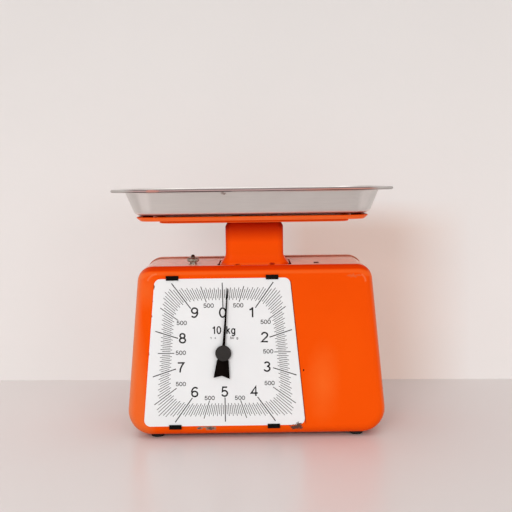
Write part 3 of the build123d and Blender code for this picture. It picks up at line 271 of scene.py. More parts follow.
# Each spot is x from the housing's middle, y, z and its three half sizes, in mm.
# Two soft painted highlights on the housing's front, near its top-left corner and beside the dial's right
# edge.
LEFT_HIGHLIGHT_SPOT = (-112.0, HOUSING_FRONT_MM, 156.0, 15.0, 10.0, 22.0)
RIGHT_HIGHLIGHT_SPOT = (69.0, HOUSING_FRONT_MM, 58.0, 20.0, 10.0, 48.0)
PRIMER_SPOTS = [
    (-59.5, HOUSING_FRONT_MM, 11.6, 3.6, 2.0, 1.8),
    (-53.0, HOUSING_FRONT_MM, 12.4, 4.0, 2.0, 1.1),
    (-47.6, HOUSING_FRONT_MM, 11.2, 5.6, 2.5, 2.7),
]
METAL_SPOTS = [
    (-48.2, HOUSING_FRONT_MM, 10.9, 3.8, 2.0, 1.9),
    (-60.0, HOUSING_FRONT_MM, 11.3, 2.2, 2.0, 1.0),
]
RUST_SPOTS = [(41.0, HOUSING_FRONT_MM, 11.2, 6.8, 2.0, 3.2)]
# Painted shade at the two notches at the foot of the neck's flare.
NOTCH_SHADE_SPOTS = [
    (-17.6, -41.0, 180.6, 4.4, 5.0, 1.1),
    (17.8, -41.0, 180.9, 4.2, 5.0, 1.7),
]
# A nick beside the dial, and painted shade at the two ends of the stem's opening.
NICK_AND_OPENING_SHADE_SPOTS = [
    (49.0, HOUSING_FRONT_MM, 71.2, 0.8, 2.0, 1.3),
    (-37.5, -33.0, 178.4, 2.2, 9.5, 3.2),
    (36.7, -33.0, 178.4, 2.2, 9.5, 3.2),
]
SCUFF_SPOTS = [(101.0, -49.0, 168.6, 6.5, 5.0, 1.9)]
# Painted shade in the neck's top corners, under the pan.
NECK_CORNER_SHADE_SPOTS = [
    (-28.5, -20.0, 222.0, 5.0, 40.0, 7.0),
    (28.5, -20.0, 222.0, 5.0, 40.0, 7.0),
]


def rubbed_arc(x, z, radius, start, end):
    """Small overlapping spots of painted highlight round a corner of the housing's front, from start to end
    degrees.
    """
    turns = [radians(turn) for turn in range(start, end + 1, 8)]
    return [(x + radius * cos(t), HOUSING_FRONT_MM, z + radius * sin(t), 1.5, 4.0, 1.5) for t in turns]


# Painted highlights round the top corners of the housing's front.
HIGHLIGHT_ARCS = rubbed_arc(-99.5, 162.0, 10.8, 98, 158) + rubbed_arc(104.5, 162.5, 8.6, 5, 55)


def paint_forms(paint, base):
    """Painted shade and painted light that follow the housing's rolled top edge, the neck and the pan."""
    height, up = paint.along(2), paint.slope(2)
    near_top = paint.between(height, *HOUSING_TOP, TOP_FADE)
    # Painted shade on the roll of the top edge, under the tray.
    rolled = paint.times(near_top, paint.between(up, *ROLLED_SLOPES, 0.12))
    base = paint.tint(base, rolled, ROLLED_EDGE_SHADE, 0.75)
    # Painted highlight on the band just below the rolled edge.
    under = paint.times(near_top, paint.between(up, *BELOW_EDGE_SLOPES, 0.10))
    base = paint.tint(base, under, BELOW_EDGE_HIGHLIGHT, 0.6)
    # Painted shade at the top of the neck, under the pan.
    neck_top_shade = paint.times(paint.ease(height, *NECK_TOP), paint.below(height, *PAN_START))
    base = paint.tint(base, neck_top_shade, NECK_SHADE, 0.8)
    # Painted light on the faces of the pan and underplate that face down.
    pan_rim_light = paint.times(paint.ease(height, *PAN_START), paint.below(up, -0.5, -0.2))
    return paint.tint(base, pan_rim_light, PAN_RIM_LIGHT)


def paint_sides(paint, base):
    """Painted highlights along the housing's left side, on the turn of both side edges, and in two soft spots
    on its front.
    """
    across, deep, height = (paint.along(axis) for axis in (0, 1, 2))
    # Painted highlight along the left side of the housing's front.
    leaning = paint.maths("ADD", across, paint.times(height, LEFT_BAND_LEAN))
    left_band_highlight = paint.times(paint.ease(leaning, *LEFT_BAND_START), paint.ease(deep, *IN_FRONT))
    base = paint.tint(base, left_band_highlight, LEFT_BAND_HIGHLIGHT, 0.75)
    # Painted highlight on the turn of both side edges.
    sideways = paint.slope(0)
    left_edge = paint.ease(sideways, -0.05, -1.0)
    right_edge = paint.ease(sideways, 0.5, 1.0, 0.0, 0.84)
    edge = paint.most(paint.times(left_edge, left_edge), paint.times(right_edge, right_edge))
    turning = paint.below(paint.maths("ABSOLUTE", sideways), *TURN_END)
    edge = paint.times(edge, turning, paint.below(height, *HOUSING_END))
    base = paint.tint(base, edge, EDGE_HIGHLIGHT)
    base = paint.tint(base, paint.blotches([LEFT_HIGHLIGHT_SPOT], 0.1, 60.0, 1.0), LEFT_HIGHLIGHT, 0.6)
    return paint.tint(base, paint.blotches([RIGHT_HIGHLIGHT_SPOT], 0.1, 60.0, 1.0), RIGHT_HIGHLIGHT, 0.8)


def housing_top(paint):
    """Mask of the housing's flat top, with the roll of the edge behind it but not the one in front."""
    back, up = paint.slope(1), paint.slope(2)
    behind = paint.times(paint.ease(up, 0.25, 0.45), paint.ease(back, -0.25, -0.05))
    flat = paint.ease(up, 0.985, 0.996)
    return paint.times(paint.between(paint.along(2), *HOUSING_TOP, TOP_FADE), paint.most(flat, behind))


def paint_dirt(paint, base, top):
    """Dust and painted reflection on the housing's top, the rear cover's rim darker brown, and a painted
    shadow along the dial's right edge.
    """
    across, deep, height = (paint.along(axis) for axis in (0, 1, 2))
    # Dust and a painted reflection of the pale wall on the housing's top, paler on the left.
    dust_and_reflection_share = paint.ease(paint.noise(45.0, 5.0, 0.6), 0.3, 0.7, 0.50, 0.74)
    dust = paint.mix(paint.ease(across, -0.02, 0.02), DUST_AND_REFLECTION_LEFT, DUST_AND_REFLECTION_RIGHT)
    base = paint.tint(base, top, dust, dust_and_reflection_share)
    cover_rim = paint.times(paint.ease(deep, *BEHIND_COVER_RIM), paint.ease(paint.slope(1), -0.4, -0.6))
    base = paint.tint(base, paint.times(cover_rim, paint.below(height, *HOUSING_END)), COVER_RIM, 0.9)
    # Painted shadow of the dial's edge, a thin dark line beside its right side.
    leaning = paint.maths("ADD", across, paint.times(height, SIDE_SLOPE))
    dial_edge_shadow = paint.between(leaning, DIAL_RIGHT_MM * MM, (DIAL_RIGHT_MM + DIAL_SHADOW_WIDTH_MM) * MM, 0.0003)
    dial_edge_shadow = paint.times(dial_edge_shadow, paint.between(height, *DIAL_SHADOW_HEIGHTS, 0.004), paint.ease(deep, *IN_FRONT))
    return paint.tint(base, dial_edge_shadow, DIAL_EDGE_SHADOW, 0.75)


def orange_paint():
    """Stove enamel: orange peel, dust and painted reflection on the housing's top, painted shade and
    highlights over its forms, and chips down to primer and metal.
    """
    paint = Finish("orange_paint", Specular_IOR_Level=0.02, Sheen_Weight=0.04, Sheen_Roughness=0.35)
    paint.shader.inputs["Sheen Tint"].default_value = (1.0, 0.86, 0.78, 1.0)
    top = housing_top(paint)
    base = paint.mix(paint.cloud(9.0, 2.0), ENAMEL, ENAMEL_LIGHT)
    base = paint_forms(paint, base)
    base = paint_sides(paint, base)
    base = paint_dirt(paint, base, top)
    base = paint.tint(base, paint.blotches(NOTCH_SHADE_SPOTS, 0.3, 300.0, 0.5), NOTCH_SHADE)
    # A dark nick, and painted shade at the ends of the stem's opening.
    dark = paint.blotches(NICK_AND_OPENING_SHADE_SPOTS, 0.2, 300.0, 0.3)
    base = paint.tint(base, dark, NICK_AND_OPENING_SHADE)
    scuff = paint.blotches(SCUFF_SPOTS, 0.7, 300.0, 0.4)
    base = paint.tint(base, scuff, SCUFF, 0.4)
    base = paint.tint(base, paint.blotches(HIGHLIGHT_ARCS, 0.1, 200.0, 0.9), ARC_HIGHLIGHT, 0.45)
    base = paint.tint(base, paint.blotches(NECK_CORNER_SHADE_SPOTS, 0.1, 200.0, 0.7), NECK_CORNER_SHADE, 0.7)
    primer = paint.blotches(PRIMER_SPOTS, 0.55, 380.0, 0.2)
    base = paint.tint(base, primer, PRIMER)
    base = paint.tint(base, paint.blotches(METAL_SPOTS, 0.7, 620.0, 0.15), BARE_METAL)
    base = paint.tint(base, paint.blotches(RUST_SPOTS, 0.7, 420.0, 0.2), RUST)
    paint.colour(base)
    smear = paint.ease(paint.noise(26.0, 4.0, 0.6), 0.35, 0.7, 0.26, 0.38)
    smear = paint.maths("ADD", smear, paint.times(paint.most(primer, scuff, dark), 0.4))
    paint.rough(paint.maths("SUBTRACT", smear, paint.times(top, 0.16)))
    paint.bump(paint.noise(700.0, 2.0), 0.00002, 0.35)
    paint.bump(paint.noise(38.0, 1.0), 0.0006, 0.10)
    paint.bump(paint.without(primer), 0.00012, 0.9)
    return paint.material


# ---------------------------------------------------------------- white enamel
DIAL_RUST_SPOTS = [
    (39.0, DIAL_FRONT_MM, 13.0, 5.0, 2.0, 1.3),
    (43.4, DIAL_FRONT_MM, 14.4, 3.4, 2.0, 2.4),
]
DIAL_NICKS = [
    (-103.1, DIAL_FRONT_MM, 160.0, 0.8, 2.0, 2.4),
    (-105.1, DIAL_FRONT_MM, 145.3, 0.7, 2.0, 1.8),
    (-106.5, DIAL_FRONT_MM, 130.0, 0.8, 2.0, 2.2),
    (-110.1, DIAL_FRONT_MM, 90.5, 0.7, 2.0, 2.2),
    (11.4, DIAL_FRONT_MM, 168.0, 1.1, 2.0, 0.7),
]


def dial_white():
    """White enamelled sheet: a little grey with age, chipped at its edges."""
    dial = Finish("dial_white", Specular_IOR_Level=0.3)
    base = dial.mix(dial.cloud(14.0, 3.0), (0.790, 0.803, 0.811), (0.825, 0.839, 0.847))
    rust = dial.blotches(DIAL_RUST_SPOTS, 0.6, 520.0, 0.15)
    base = dial.tint(base, rust, (0.115, 0.060, 0.042))
    base = dial.tint(base, dial.blotches(DIAL_NICKS, 0.5, 700.0, 0.1), (0.12, 0.060, 0.025))
    dial.colour(base)
    dial.rough(dial.ease(dial.noise(30.0, 4.0), 0.3, 0.7, 0.30, 0.42))
    dial.bump(dial.noise(900.0, 2.0), 0.00001, 0.3)
    dial.bump(dial.without(rust), 0.0001, 0.8)
    return dial.material


# ---------------------------------------------------------------- tray steel
TRAY_HALF_MM = (141.2, 103.3)
TRAY_CORNER_MM = 45.4         # radius of the tray's outer corners
FAR_ABOVE = (10.0,)           # so that height has no part in the distance from the tray's edge
BEAD_MM = 2.8                 # width of the rolled bead round its edge
BEAD_FADE_MM = 0.2
BEAD_TOP_START = (0.2580, 0.2584)
BEAD_SHADE_END = (0.2571, 0.2575)
BEAD_TIP_START = (0.112, 0.124)            # away from the middle, left and right
UNBROKEN_SHADE_STRETCH = (-0.082, -0.020)           # x where the painted shade under the bead has no gaps
FOOT_HEIGHTS = (0.2340, 0.2372)            # the bend at the foot of the wall
CORNER_START = (0.2345, 0.2400)
OUTSIDE_SLOPES = (-0.97, -0.05)            # the wall's outside faces down by this much
LEFT_CORNER_SLOPES, RIGHT_CORNER_SLOPES = (-0.42, -0.22), (0.42, 0.60)

STEEL, STEEL_LIGHT = (0.66, 0.635, 0.615), (0.72, 0.70, 0.68)
DRAWN_LINE = (0.56, 0.54, 0.52)
BEAD_REFLECTION_LEFT, BEAD_REFLECTION_RIGHT = (0.45, 0.31, 0.30), (0.50, 0.23, 0.18)
BEAD_TOP_REFLECTION = (0.17, 0.125, 0.12)
BEAD_UNDER_SHADE = (0.05, 0.022, 0.021)
BEAD_RED_REFLECTION = (0.56, 0.22, 0.17)
BEAD_TIP = (0.45, 0.42, 0.40)
FOOT_REFLECTION = (0.97, 0.78, 0.74)
TRAY_LEFT_LIGHT = (0.86, 0.83, 0.80)
CORNER_HIGHLIGHT = (0.90, 0.87, 0.85)
DENT_SHADE = (0.28, 0.20, 0.18)
BEAD_RED_REFLECTION_SPOT = (-97.0, -103.0, 257.6, 7.5, 8.0, 1.6)
DENT_SHADE_SPOT = (-29.3, -90.0, 254.6, 3.2, 6.0, 1.8)


def front_bead(steel):
    """Mask of the rolled bead along the tray's edge, left out at the back."""
    core = tuple((half - TRAY_CORNER_MM) * MM for half in TRAY_HALF_MM) + FAR_ABOVE
    beyond = steel.vector("SUBTRACT", steel.vector("ABSOLUTE", steel.place), core)
    from_core = steel.vector("LENGTH", steel.vector("MAXIMUM", beyond))
    from_edge = steel.maths("SUBTRACT", from_core, TRAY_CORNER_MM * MM)
    bead = steel.ease(from_edge, -(BEAD_MM + BEAD_FADE_MM) * MM, -BEAD_MM * MM)
    return steel.times(bead, steel.below(steel.along(1), -0.06, -0.03))


def bead_tarnish(steel, across, height):
    """The bead's colour, which is painted reflection: dull, redder to the right, darker on top, with painted
    shade under it and pale ends.
    """
    tarnish = steel.mix(steel.ease(across, 0.03, 0.07), BEAD_REFLECTION_LEFT, BEAD_REFLECTION_RIGHT)
    # Painted dark reflection on the bead's top.
    tarnish = steel.tint(tarnish, steel.ease(height, *BEAD_TOP_START), BEAD_TOP_REFLECTION)
    patchy = steel.ease(steel.noise(22.0, 3.0, 0.6, stretch=(1.0, 0.2, 0.2)), 0.42, 0.58, 0.55, 1.0)
    patchy = steel.most(patchy, steel.between(across, *UNBROKEN_SHADE_STRETCH, 0.004))
    # Painted shade under the bead.
    tarnish = steel.tint(tarnish, steel.below(height, *BEAD_SHADE_END), BEAD_UNDER_SHADE, patchy)
    tarnish = steel.tint(tarnish, steel.blotches([BEAD_RED_REFLECTION_SPOT], 0.3, 300.0, 0.4), BEAD_RED_REFLECTION, 0.7)
    return steel.tint(tarnish, steel.ease(steel.maths("ABSOLUTE", across), *BEAD_TIP_START), BEAD_TIP)


def stainless():
    """Satin sheet with drawn lines along its length; its rolled bead is duller, with painted reflections on
    it and painted shade under it.
    """
    steel = Finish("stainless", metallic=1.0)
    across, height = steel.along(0), steel.along(2)
    drawn = steel.noise(90.0, 6.0, 0.7, stretch=(0.35, 8.0, 8.0))
    base = steel.mix(steel.cloud(18.0, 3.0), STEEL, STEEL_LIGHT)
    base = steel.tint(base, steel.ease(drawn, 0.35, 0.75, 0.0, 0.35), DRAWN_LINE)
    outside = steel.between(steel.slope(2), *OUTSIDE_SLOPES, 0.02)
    # Painted reflection of the orange pan on the outside of the wall's foot.
    foot_reflection = steel.times(steel.ease(height, *FOOT_HEIGHTS, 0.85, 0.0), outside)
    base = steel.tint(base, foot_reflection, FOOT_REFLECTION)
    bead = front_bead(steel)
    base = steel.tint(base, bead, bead_tarnish(steel, across, height))
    steel.feed(steel.shader.inputs["Metallic"], steel.ease(bead, 0.0, 1.0, 1.0, 0.2))
    # Painted light on the left of the tray's outside wall.
    left = steel.times(steel.ease(across, 0.0, -0.095, 0.0, 0.25), outside)
    base = steel.tint(base, left, TRAY_LEFT_LIGHT, steel.without(bead))
    # Painted highlights on the turn of the tray's corners.
    turned = steel.slope(0)
    left_corner = steel.between(turned, *LEFT_CORNER_SLOPES, 0.14)
    right_corner = steel.between(turned, *RIGHT_CORNER_SLOPES, 0.16)
    corner = steel.times(steel.most(left_corner, right_corner), steel.ease(height, *CORNER_START))
    base = steel.tint(base, corner, CORNER_HIGHLIGHT, steel.maths("SUBTRACT", 0.7, bead, clamp=True))
    # A dent in the tray's front, shown only by painted shade.
    base = steel.tint(base, steel.blotches([DENT_SHADE_SPOT], 0.6, 420.0, 0.4), DENT_SHADE, 0.8)
    steel.colour(base)
    satin = steel.ease(drawn, 0.3, 0.7, 0.30, 0.44)
    steel.rough(steel.maths("ADD", satin, steel.times(bead, 0.32)))
    steel.bump(drawn, 0.00003, 0.25)
    steel.bump(steel.noise(24.0, 2.0), 0.0012, 0.10)
    return steel.material


# ---------------------------------------------------------------- small metal
OLD_RUST = (0.055, 0.022, 0.014)
ANCHOR_HEAD = (64.5, -25.0, 180.4, 5.0, 5.0, 2.5)
STUD_TIP = (-64.5, -25.0, 190.7, 4.5, 4.5, 4.4)


def plated(name, light, dark, smooth, rough, grain=60.0, rusty=()):
    """A plated or turned metal with blotchy tarnish and fine scratches, and rust at given spots."""
    metal = Finish(name, metallic=1.0)
    tarnish = metal.ease(metal.noise(grain, 5.0, 0.65), 0.35, 0.7)
    colour = metal.mix(tarnish, light, dark)
    if rusty:
        colour = metal.tint(colour, metal.blotches(rusty, 0.2, 300.0, 0.2), OLD_RUST)
    metal.colour(colour)
    metal.rough(metal.ease(metal.noise(grain * 4, 4.0), 0.3, 0.7, smooth, rough))
    metal.bump(metal.noise(grain * 14, 3.0), 0.00003, 0.4)
    return metal.material


def zinc_steel():
    return plated("zinc_steel", (0.60, 0.60, 0.58), (0.44, 0.45, 0.46), 0.32, 0.5)


def nickel():
    """Dull nickel, rusty on the spring anchor's head and the zero stud's tip."""
    rusty = (ANCHOR_HEAD, STUD_TIP)
    return plated("nickel", (0.44, 0.41, 0.35), (0.13, 0.11, 0.08), 0.28, 0.5, 220.0, rusty)


def brass():
    return plated("brass", (0.80, 0.58, 0.24), (0.52, 0.34, 0.12), 0.25, 0.45, 90.0)


# ---------------------------------------------------------------- dark finishes
PLATFORM = 0.2                # rubber above this height is the tray's pads


def dark_finish(name, base, lighter, smooth, rough, grain, depth, above=None):
    """Black paint, plastic or rubber with a fine surface grain and dusty patches.

    above gives the two colours used higher than the platform."""
    dark = Finish(name, Specular_IOR_Level=0.03)
    dust = dark.ease(dark.noise(40.0, 5.0, 0.7), 0.45, 0.75)
    colour = dark.mix(dust, base, lighter)
    if above is not None:
        on_platform = dark.maths("GREATER_THAN", dark.along(2), PLATFORM)
        colour = dark.tint(colour, on_platform, dark.mix(dust, *above))
    dark.colour(colour)
    dark.rough(dark.ease(dark.noise(grain * 0.3, 3.0), 0.3, 0.7, smooth, rough))
    dark.bump(dark.noise(grain, 3.0), depth, 0.5)
    return dark.material


def black_paint():
    colours = ((0.0025, 0.0012, 0.0009), (0.007, 0.004, 0.003))
    return dark_finish("black_paint", *colours, 0.45, 0.6, 900.0, 0.00002)


def hub_grey():
    colours = ((0.030, 0.027, 0.026), (0.044, 0.040, 0.038))
    return dark_finish("hub_grey", *colours, 0.42, 0.55, 1100.0, 0.00003)


def black_plastic():
    colours = ((0.004, 0.0035, 0.0033), (0.011, 0.010, 0.009))
    return dark_finish("black_plastic", *colours, 0.45, 0.55, 1200.0, 0.00003)


def rubber():
    """Black feet and the tray's dark red pads."""
    black = ((0.016, 0.015, 0.015), (0.045, 0.041, 0.038))
    red = ((0.100, 0.006, 0.006), (0.160, 0.020, 0.012))
    return dark_finish("rubber", *black, 0.65, 0.85, 800.0, 0.00006, above=red)


def printing_ink():
    """Screen-printed black, a little thin and uneven."""
    ink = Finish("printing_ink", Specular_IOR_Level=0.1)
    thin = ink.ease(ink.noise(600.0, 4.0, 0.7), 0.4, 0.75)
    ink.colour(ink.mix(thin, (0.006, 0.005, 0.005), (0.026, 0.023, 0.022)))
    ink.rough(ink.ease(ink.noise(90.0, 3.0), 0.3, 0.7, 0.45, 0.6))
    ink.bump(ink.noise(900.0, 2.0), 0.00001, 0.4)
    return ink.material


FINISHES = {
    "orange_paint": orange_paint,
    "zinc_steel": zinc_steel,
    "stainless": stainless,
    "nickel": nickel,
    "brass": brass,
    "dial_white": dial_white,
    "black_paint": black_paint,
    "hub_grey": hub_grey,
    "black_plastic": black_plastic,
    "rubber": rubber,
}


def dress_nodes():
    """Gives every node of the frame the finish of its material slot."""
    made = {slot: build() for slot, build in FINISHES.items()}
    for part in frame["record"]["subparts"]:
        mesh = nodes[part["node"]].data
        mesh.materials.clear()
        mesh.materials.append(made[part["material_slot"]])


# ---------------------------------------------------------------- dial print
HUB_MM = Vector((MIDDLE_X_MM - 33.4, 0.0, 90.8))
# The print is laid out in units measured from the hub, right and down; these turn them to mm.
UNIT_WIDE, UNIT_HIGH = 1.027, 1.04
INK_PROUD_MM = 0.05           # above the dial's face
INK_SUNK_MM = 0.02            # below it
PRINT_DRIFT = 0.9             # the lines' drift to the right of the hub, full at and below it

DIVISIONS = 200               # 50 g each, ten kilograms a turn
PER_KILO, PER_HALF = 20, 10
# A rounded trapezoid round the hub: its reach up, down and sideways, how far its sides lean in, and how sharp
# its corners are.
Trapezoid = namedtuple("Trapezoid", "top bottom side lean corner")
KILO_OUTER = Trapezoid(69.6, 69.6, 70.1, 0.085, 40)
KILO_INNER = Trapezoid(45.5, 45.3, 47.2, 0.098, 7)
HALF_OUTER = Trapezoid(66.0, 66.2, 66.5, 0.09, 30)
HALF_INNER = Trapezoid(50.8, 48.3, 50.0, 0.07, 4)
FINE_OUTER_ABOVE = Trapezoid(64.7, 64.0, 64.0, 0.085, 17)
FINE_OUTER_BELOW = Trapezoid(64.7, 64.0, 64.0, 0.085, 30)
FINE_INNER = Trapezoid(52.5, 51.0, 52.3, 0.085, 5.5)
ODD_SHORTER = 1.8             # each end of every second fine line
KILO_WIDTH_MM, HALF_WIDTH_MM, FINE_WIDTH_MM = 0.98, 0.78, 0.58


def on_dial(u, v):
    """Print place (right, down) from the hub, to (x, z) in mm."""
    return HUB_MM.x + u * UNIT_WIDE, HUB_MM.z - v * UNIT_HIGH


def edge_reach(angle, shape):
    """How far from the hub a trapezoid lies in one direction, clockwise from straight up."""
    u, down = sin(angle), -cos(angle)
    walls = [
        (0.0, -1.0, shape.top),
        (0.0, 1.0, shape.bottom),
        (1.0, -shape.lean, shape.side),
        (-1.0, -shape.lean, shape.side),
    ]
    total = sum(max(0.0, (a * u + b * down) / c) ** shape.corner for a, b, c in walls)
    return total ** (-1.0 / shape.corner)


def division_line(k):
    """The ends of one division's line, in mm, and its width."""
    angle = 2 * pi * k / DIVISIONS
    short = 0.0
    if k % PER_KILO == 0:
        outer_shape, inner_shape, width = KILO_OUTER, KILO_INNER, KILO_WIDTH_MM
    elif k % PER_HALF == 0:
        outer_shape, inner_shape, width = HALF_OUTER, HALF_INNER, HALF_WIDTH_MM
    else:
        short = 0.0 if k % 2 == 0 else ODD_SHORTER
        outer_shape = FINE_OUTER_ABOVE if cos(angle) > 0 else FINE_OUTER_BELOW
        inner_shape, width = FINE_INNER, FINE_WIDTH_MM
    outer = edge_reach(angle, outer_shape) - short
    inner = edge_reach(angle, inner_shape) + short
    ends = []
    for reach in (inner, outer):
        down = -cos(angle) * reach
        aside = PRINT_DRIFT * min(1.0, max(0.0, 1.0 + down / outer))
        ends.append(on_dial(sin(angle) * reach + aside, down))
    return ends, width


def ribbon(bm, points, width, closed=False):
    """A flat line of ink of even width through points in mm, standing a hair proud of the dial."""
    line = [Vector(p) for p in points]
    count = len(line)
    low = (DIAL_FRONT_MM + INK_SUNK_MM) * MM
    high = (DIAL_FRONT_MM - INK_PROUD_MM) * MM
    rows = []
    for i, here in enumerate(line):
        before = line[i - 1] if (i or closed) else here
        after = line[(i + 1) % count] if (i < count - 1 or closed) else here
        along = ((here - before).normalized() + (after - here).normalized()).normalized()
        back = (here - before).normalized() if i or closed else along
        spread = max(0.5, along.dot(back))
        side = Vector((-along.y, along.x)) * (width / 2 / spread)
        left, right = here + side, here - side
        corners = ((left, high), (right, high), (right, low), (left, low))
        rows.append([bm.verts.new((p.x * MM, y, p.y * MM)) for p, y in corners])
    pairs = list(zip(rows, rows[1:]))
    if closed:
        pairs.append((rows[-1], rows[0]))
    for one, two in pairs:
        for j in range(4):
            bm.faces.new((one[j], one[(j + 1) % 4], two[(j + 1) % 4], two[j]))
    if not closed:
        bm.faces.new(rows[0][::-1])
        bm.faces.new(rows[-1])


def arc(cx, cy, rx, ry, start, end, steps=14):
    """Points along an ellipse, from start to end degrees."""
    turns = [radians(start + (end - start) * i / steps) for i in range(steps + 1)]
    return [(cx + rx * cos(t), cy + ry * sin(t)) for t in turns]


def loop(cx, cy, rx, ry):
    return arc(cx, cy, rx, ry, 0, 360, 28)[:-1]


def bar(x0, y0, x1, y1):
    """One straight stroke."""
    return [(x0, y0), (x1, y1)], False


FIGURE_WIDTH = 0.56           # of a cell one unit high
ADVANCE = 0.62                # from one cell to the next
SIX_STEM = arc(0.33, 0.45, 0.28, 0.50, 178, 50, 12)
NINE_STEM = [(FIGURE_WIDTH - x, 1.0 - y) for x, y in SIX_STEM]
# Strokes of each figure in such a cell: (points, closed).
GLYPHS = {
    "0": [(loop(0.28, 0.5, 0.23, 0.45), True)],
    "1": [bar(0.34, 0.0, 0.34, 0.99), (arc(0.10, 0.98, 0.24, 0.22, -90, -5, 8), False)],
    "2": [(arc(0.28, 0.70, 0.22, 0.25, 175, -38) + [(0.05, 0.05), (0.53, 0.05)], False)],
    "3": [
        (arc(0.27, 0.74, 0.19, 0.21, 160, -90), False),
        (arc(0.27, 0.29, 0.22, 0.24, 90, -165), False),
    ],
    "4": [([(0.41, 0.0), (0.41, 0.95), (0.05, 0.29), (0.55, 0.29)], False)],
    "5": [([(0.49, 0.95), (0.15, 0.95)] + arc(0.28, 0.33, 0.22, 0.28, 143, -160), False)],
    "6": [(loop(0.28, 0.31, 0.22, 0.26), True), (SIX_STEM, False)],
    "7": [([(0.05, 0.95), (0.52, 0.95), (0.36, 0.66), (0.25, 0.34), (0.21, 0.0)], False)],
    "8": [(loop(0.28, 0.73, 0.185, 0.215), True), (loop(0.28, 0.28, 0.22, 0.235), True)],
    "9": [(loop(0.28, 0.69, 0.22, 0.26), True), (NINE_STEM, False)],
    "=": [bar(0.08, 0.34, 0.48, 0.34), bar(0.08, 0.62, 0.48, 0.62)],
    "k": [bar(0.08, 0.0, 0.08, 1.0), bar(0.42, 0.70, 0.08, 0.33), bar(0.20, 0.46, 0.45, 0.0)],
    "g": [
        (loop(0.26, 0.34, 0.20, 0.31), True),
        ([(0.46, 0.70)] + arc(0.26, -0.06, 0.20, 0.18, 0, -150, 10), False),
    ],
}


def write(bm, text, u, v, height, stroke, squeeze):
    """Figures centred on (u, v), their height in the print's own units, stroke in mm, width times squeeze."""
    wide = (len(text) - 1) * ADVANCE + FIGURE_WIDTH
    for i, letter in enumerate(text):
        if letter == " ":
            continue
        left = (i * ADVANCE - wide / 2) * height * squeeze
        for points, closed in GLYPHS[letter]:
            line = [on_dial(u + left + x * height * squeeze, v + (0.5 - y) * height) for x, y in points]
            ribbon(bm, line, stroke, closed)


# Middles of the figures, from 0 and from the first half kilogram clockwise.
NUMERALS = [
    (0, -40), (29, -40), (41.5, -15), (43.6, 14.6), (30.3, 39),
    (0.5, 39.3), (-29.5, 39.3), (-42.9, 14.3), (-40.6, -15), (-28, -40.3),
]
HALF_LABELS = [
    (15.5, -47), (42.6, -30.2), (44.8, -0.7), (45.8, 31.2), (15.8, 45.7),
    (-14.6, 45.5), (-43.3, 31), (-42.7, -0.4), (-41.1, -30.2), (-14, -47.1),
]
RANGE_MARK = (0.7, -22.6)
DIVISION_MARK_LEFT, DIVISION_MARK_RIGHT = (-10.0, -14.7), (11.0, -14.7)
# Height, stroke and squeeze of each kind of writing.
NUMERAL_STYLE = (10.1, 1.6, 1.28)
HALF_STYLE = (4.1, 0.70, 1.4)
RANGE_STYLE = (7.6, 1.25, 1.02)
SMALL_STYLE = (2.3, 0.42, 1.5)


def finish_mesh(name, bm, material, body):
    """Turns a bmesh into a piece that rides on a body."""
    bmesh.ops.recalc_face_normals(bm, faces=bm.faces)
    mesh = bpy.data.meshes.new(name)
    bm.to_mesh(mesh)
    bm.free()
    mesh.materials.append(material)
    piece = bpy.data.objects.new(name, mesh)
    bpy.context.scene.collection.objects.link(piece)
    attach(piece, body)


def make_dial_print():
    ink = printing_ink()
    bm = bmesh.new()
    for k in range(DIVISIONS):
        ends, width = division_line(k)
        ribbon(bm, ends, width)
    finish_mesh("dial_divisions", bm, ink, "housing")
    bm = bmesh.new()
    for kilos, place in enumerate(NUMERALS):
        write(bm, str(kilos), *place, *NUMERAL_STYLE)
    for place in HALF_LABELS:
        write(bm, "500", *place, *HALF_STYLE)
    write(bm, "10 kg", *RANGE_MARK, *RANGE_STYLE)
    write(bm, "1 =", *DIVISION_MARK_LEFT, *SMALL_STYLE)
    write(bm, "50 g", *DIVISION_MARK_RIGHT, *SMALL_STYLE)
    finish_mesh("dial_figures", bm, ink, "housing")


# ---------------------------------------------------------------- surroundings
STAGE_HALF = 3.0
WALL_Y = 0.2125               # at the origin's x
WALL_SLANT = 0.045            # metres nearer for each metre to the right
TABLE_COLOUR = (0.640, 0.598, 0.585)
TABLE_LEFT_LIGHT_SHARE = 1.07       # how much painted light lightens the table on the left
WALL_COLOUR = (0.770, 0.742, 0.730)
WALL_PLAIN = (0.800, 0.742, 0.712)
WALL_PLAIN_SHARE = 0.45       # how much of the wall's look takes no shadow
# Painted shadow, warmed by painted orange bounce light, on the wall beside the housing; painted shade darkens
# the wall high up.
WALL_WARM_SHADOW = (0.955, 0.815, 0.745)
WALL_LOW_SHARE, WALL_HIGH_SHARE = 1.025, 0.905
WALL_CLOUD_SHARE = 1.025
BACKDROP_COLOUR = (0.79, 0.755, 0.735)
ROOM_LIGHT, ROOM_STRENGTH = (1.0, 0.985, 0.97), 0.64


def scaled(colour, share):
    return tuple(c * share for c in colour)


def plane(name, corners, material):
    """A flat piece of the surroundings."""
    mesh = bpy.data.meshes.new(name)
    mesh.from_pydata(corners, [], [(0, 1, 2, 3)])
    mesh.materials.append(material)
    made = bpy.data.objects.new(name, mesh)
    bpy.context.scene.collection.objects.link(made)


def table_finish():
    """Pale worktop, a little lighter on the left with painted light, and softly glossy."""
    table = Finish("table")
    to_right = table.ease(table.along(0), -0.22, 0.20)
    base = table.mix(to_right, scaled(TABLE_COLOUR, TABLE_LEFT_LIGHT_SHARE), TABLE_COLOUR)
    table.colour(table.tint(base, table.cloud(3.0, 3.0), (1.0, 1.0, 1.0), 0.03))
    table.rough(table.ease(table.noise(4.0, 2.0), 0.3, 0.7, 0.30, 0.36))
    return table.material


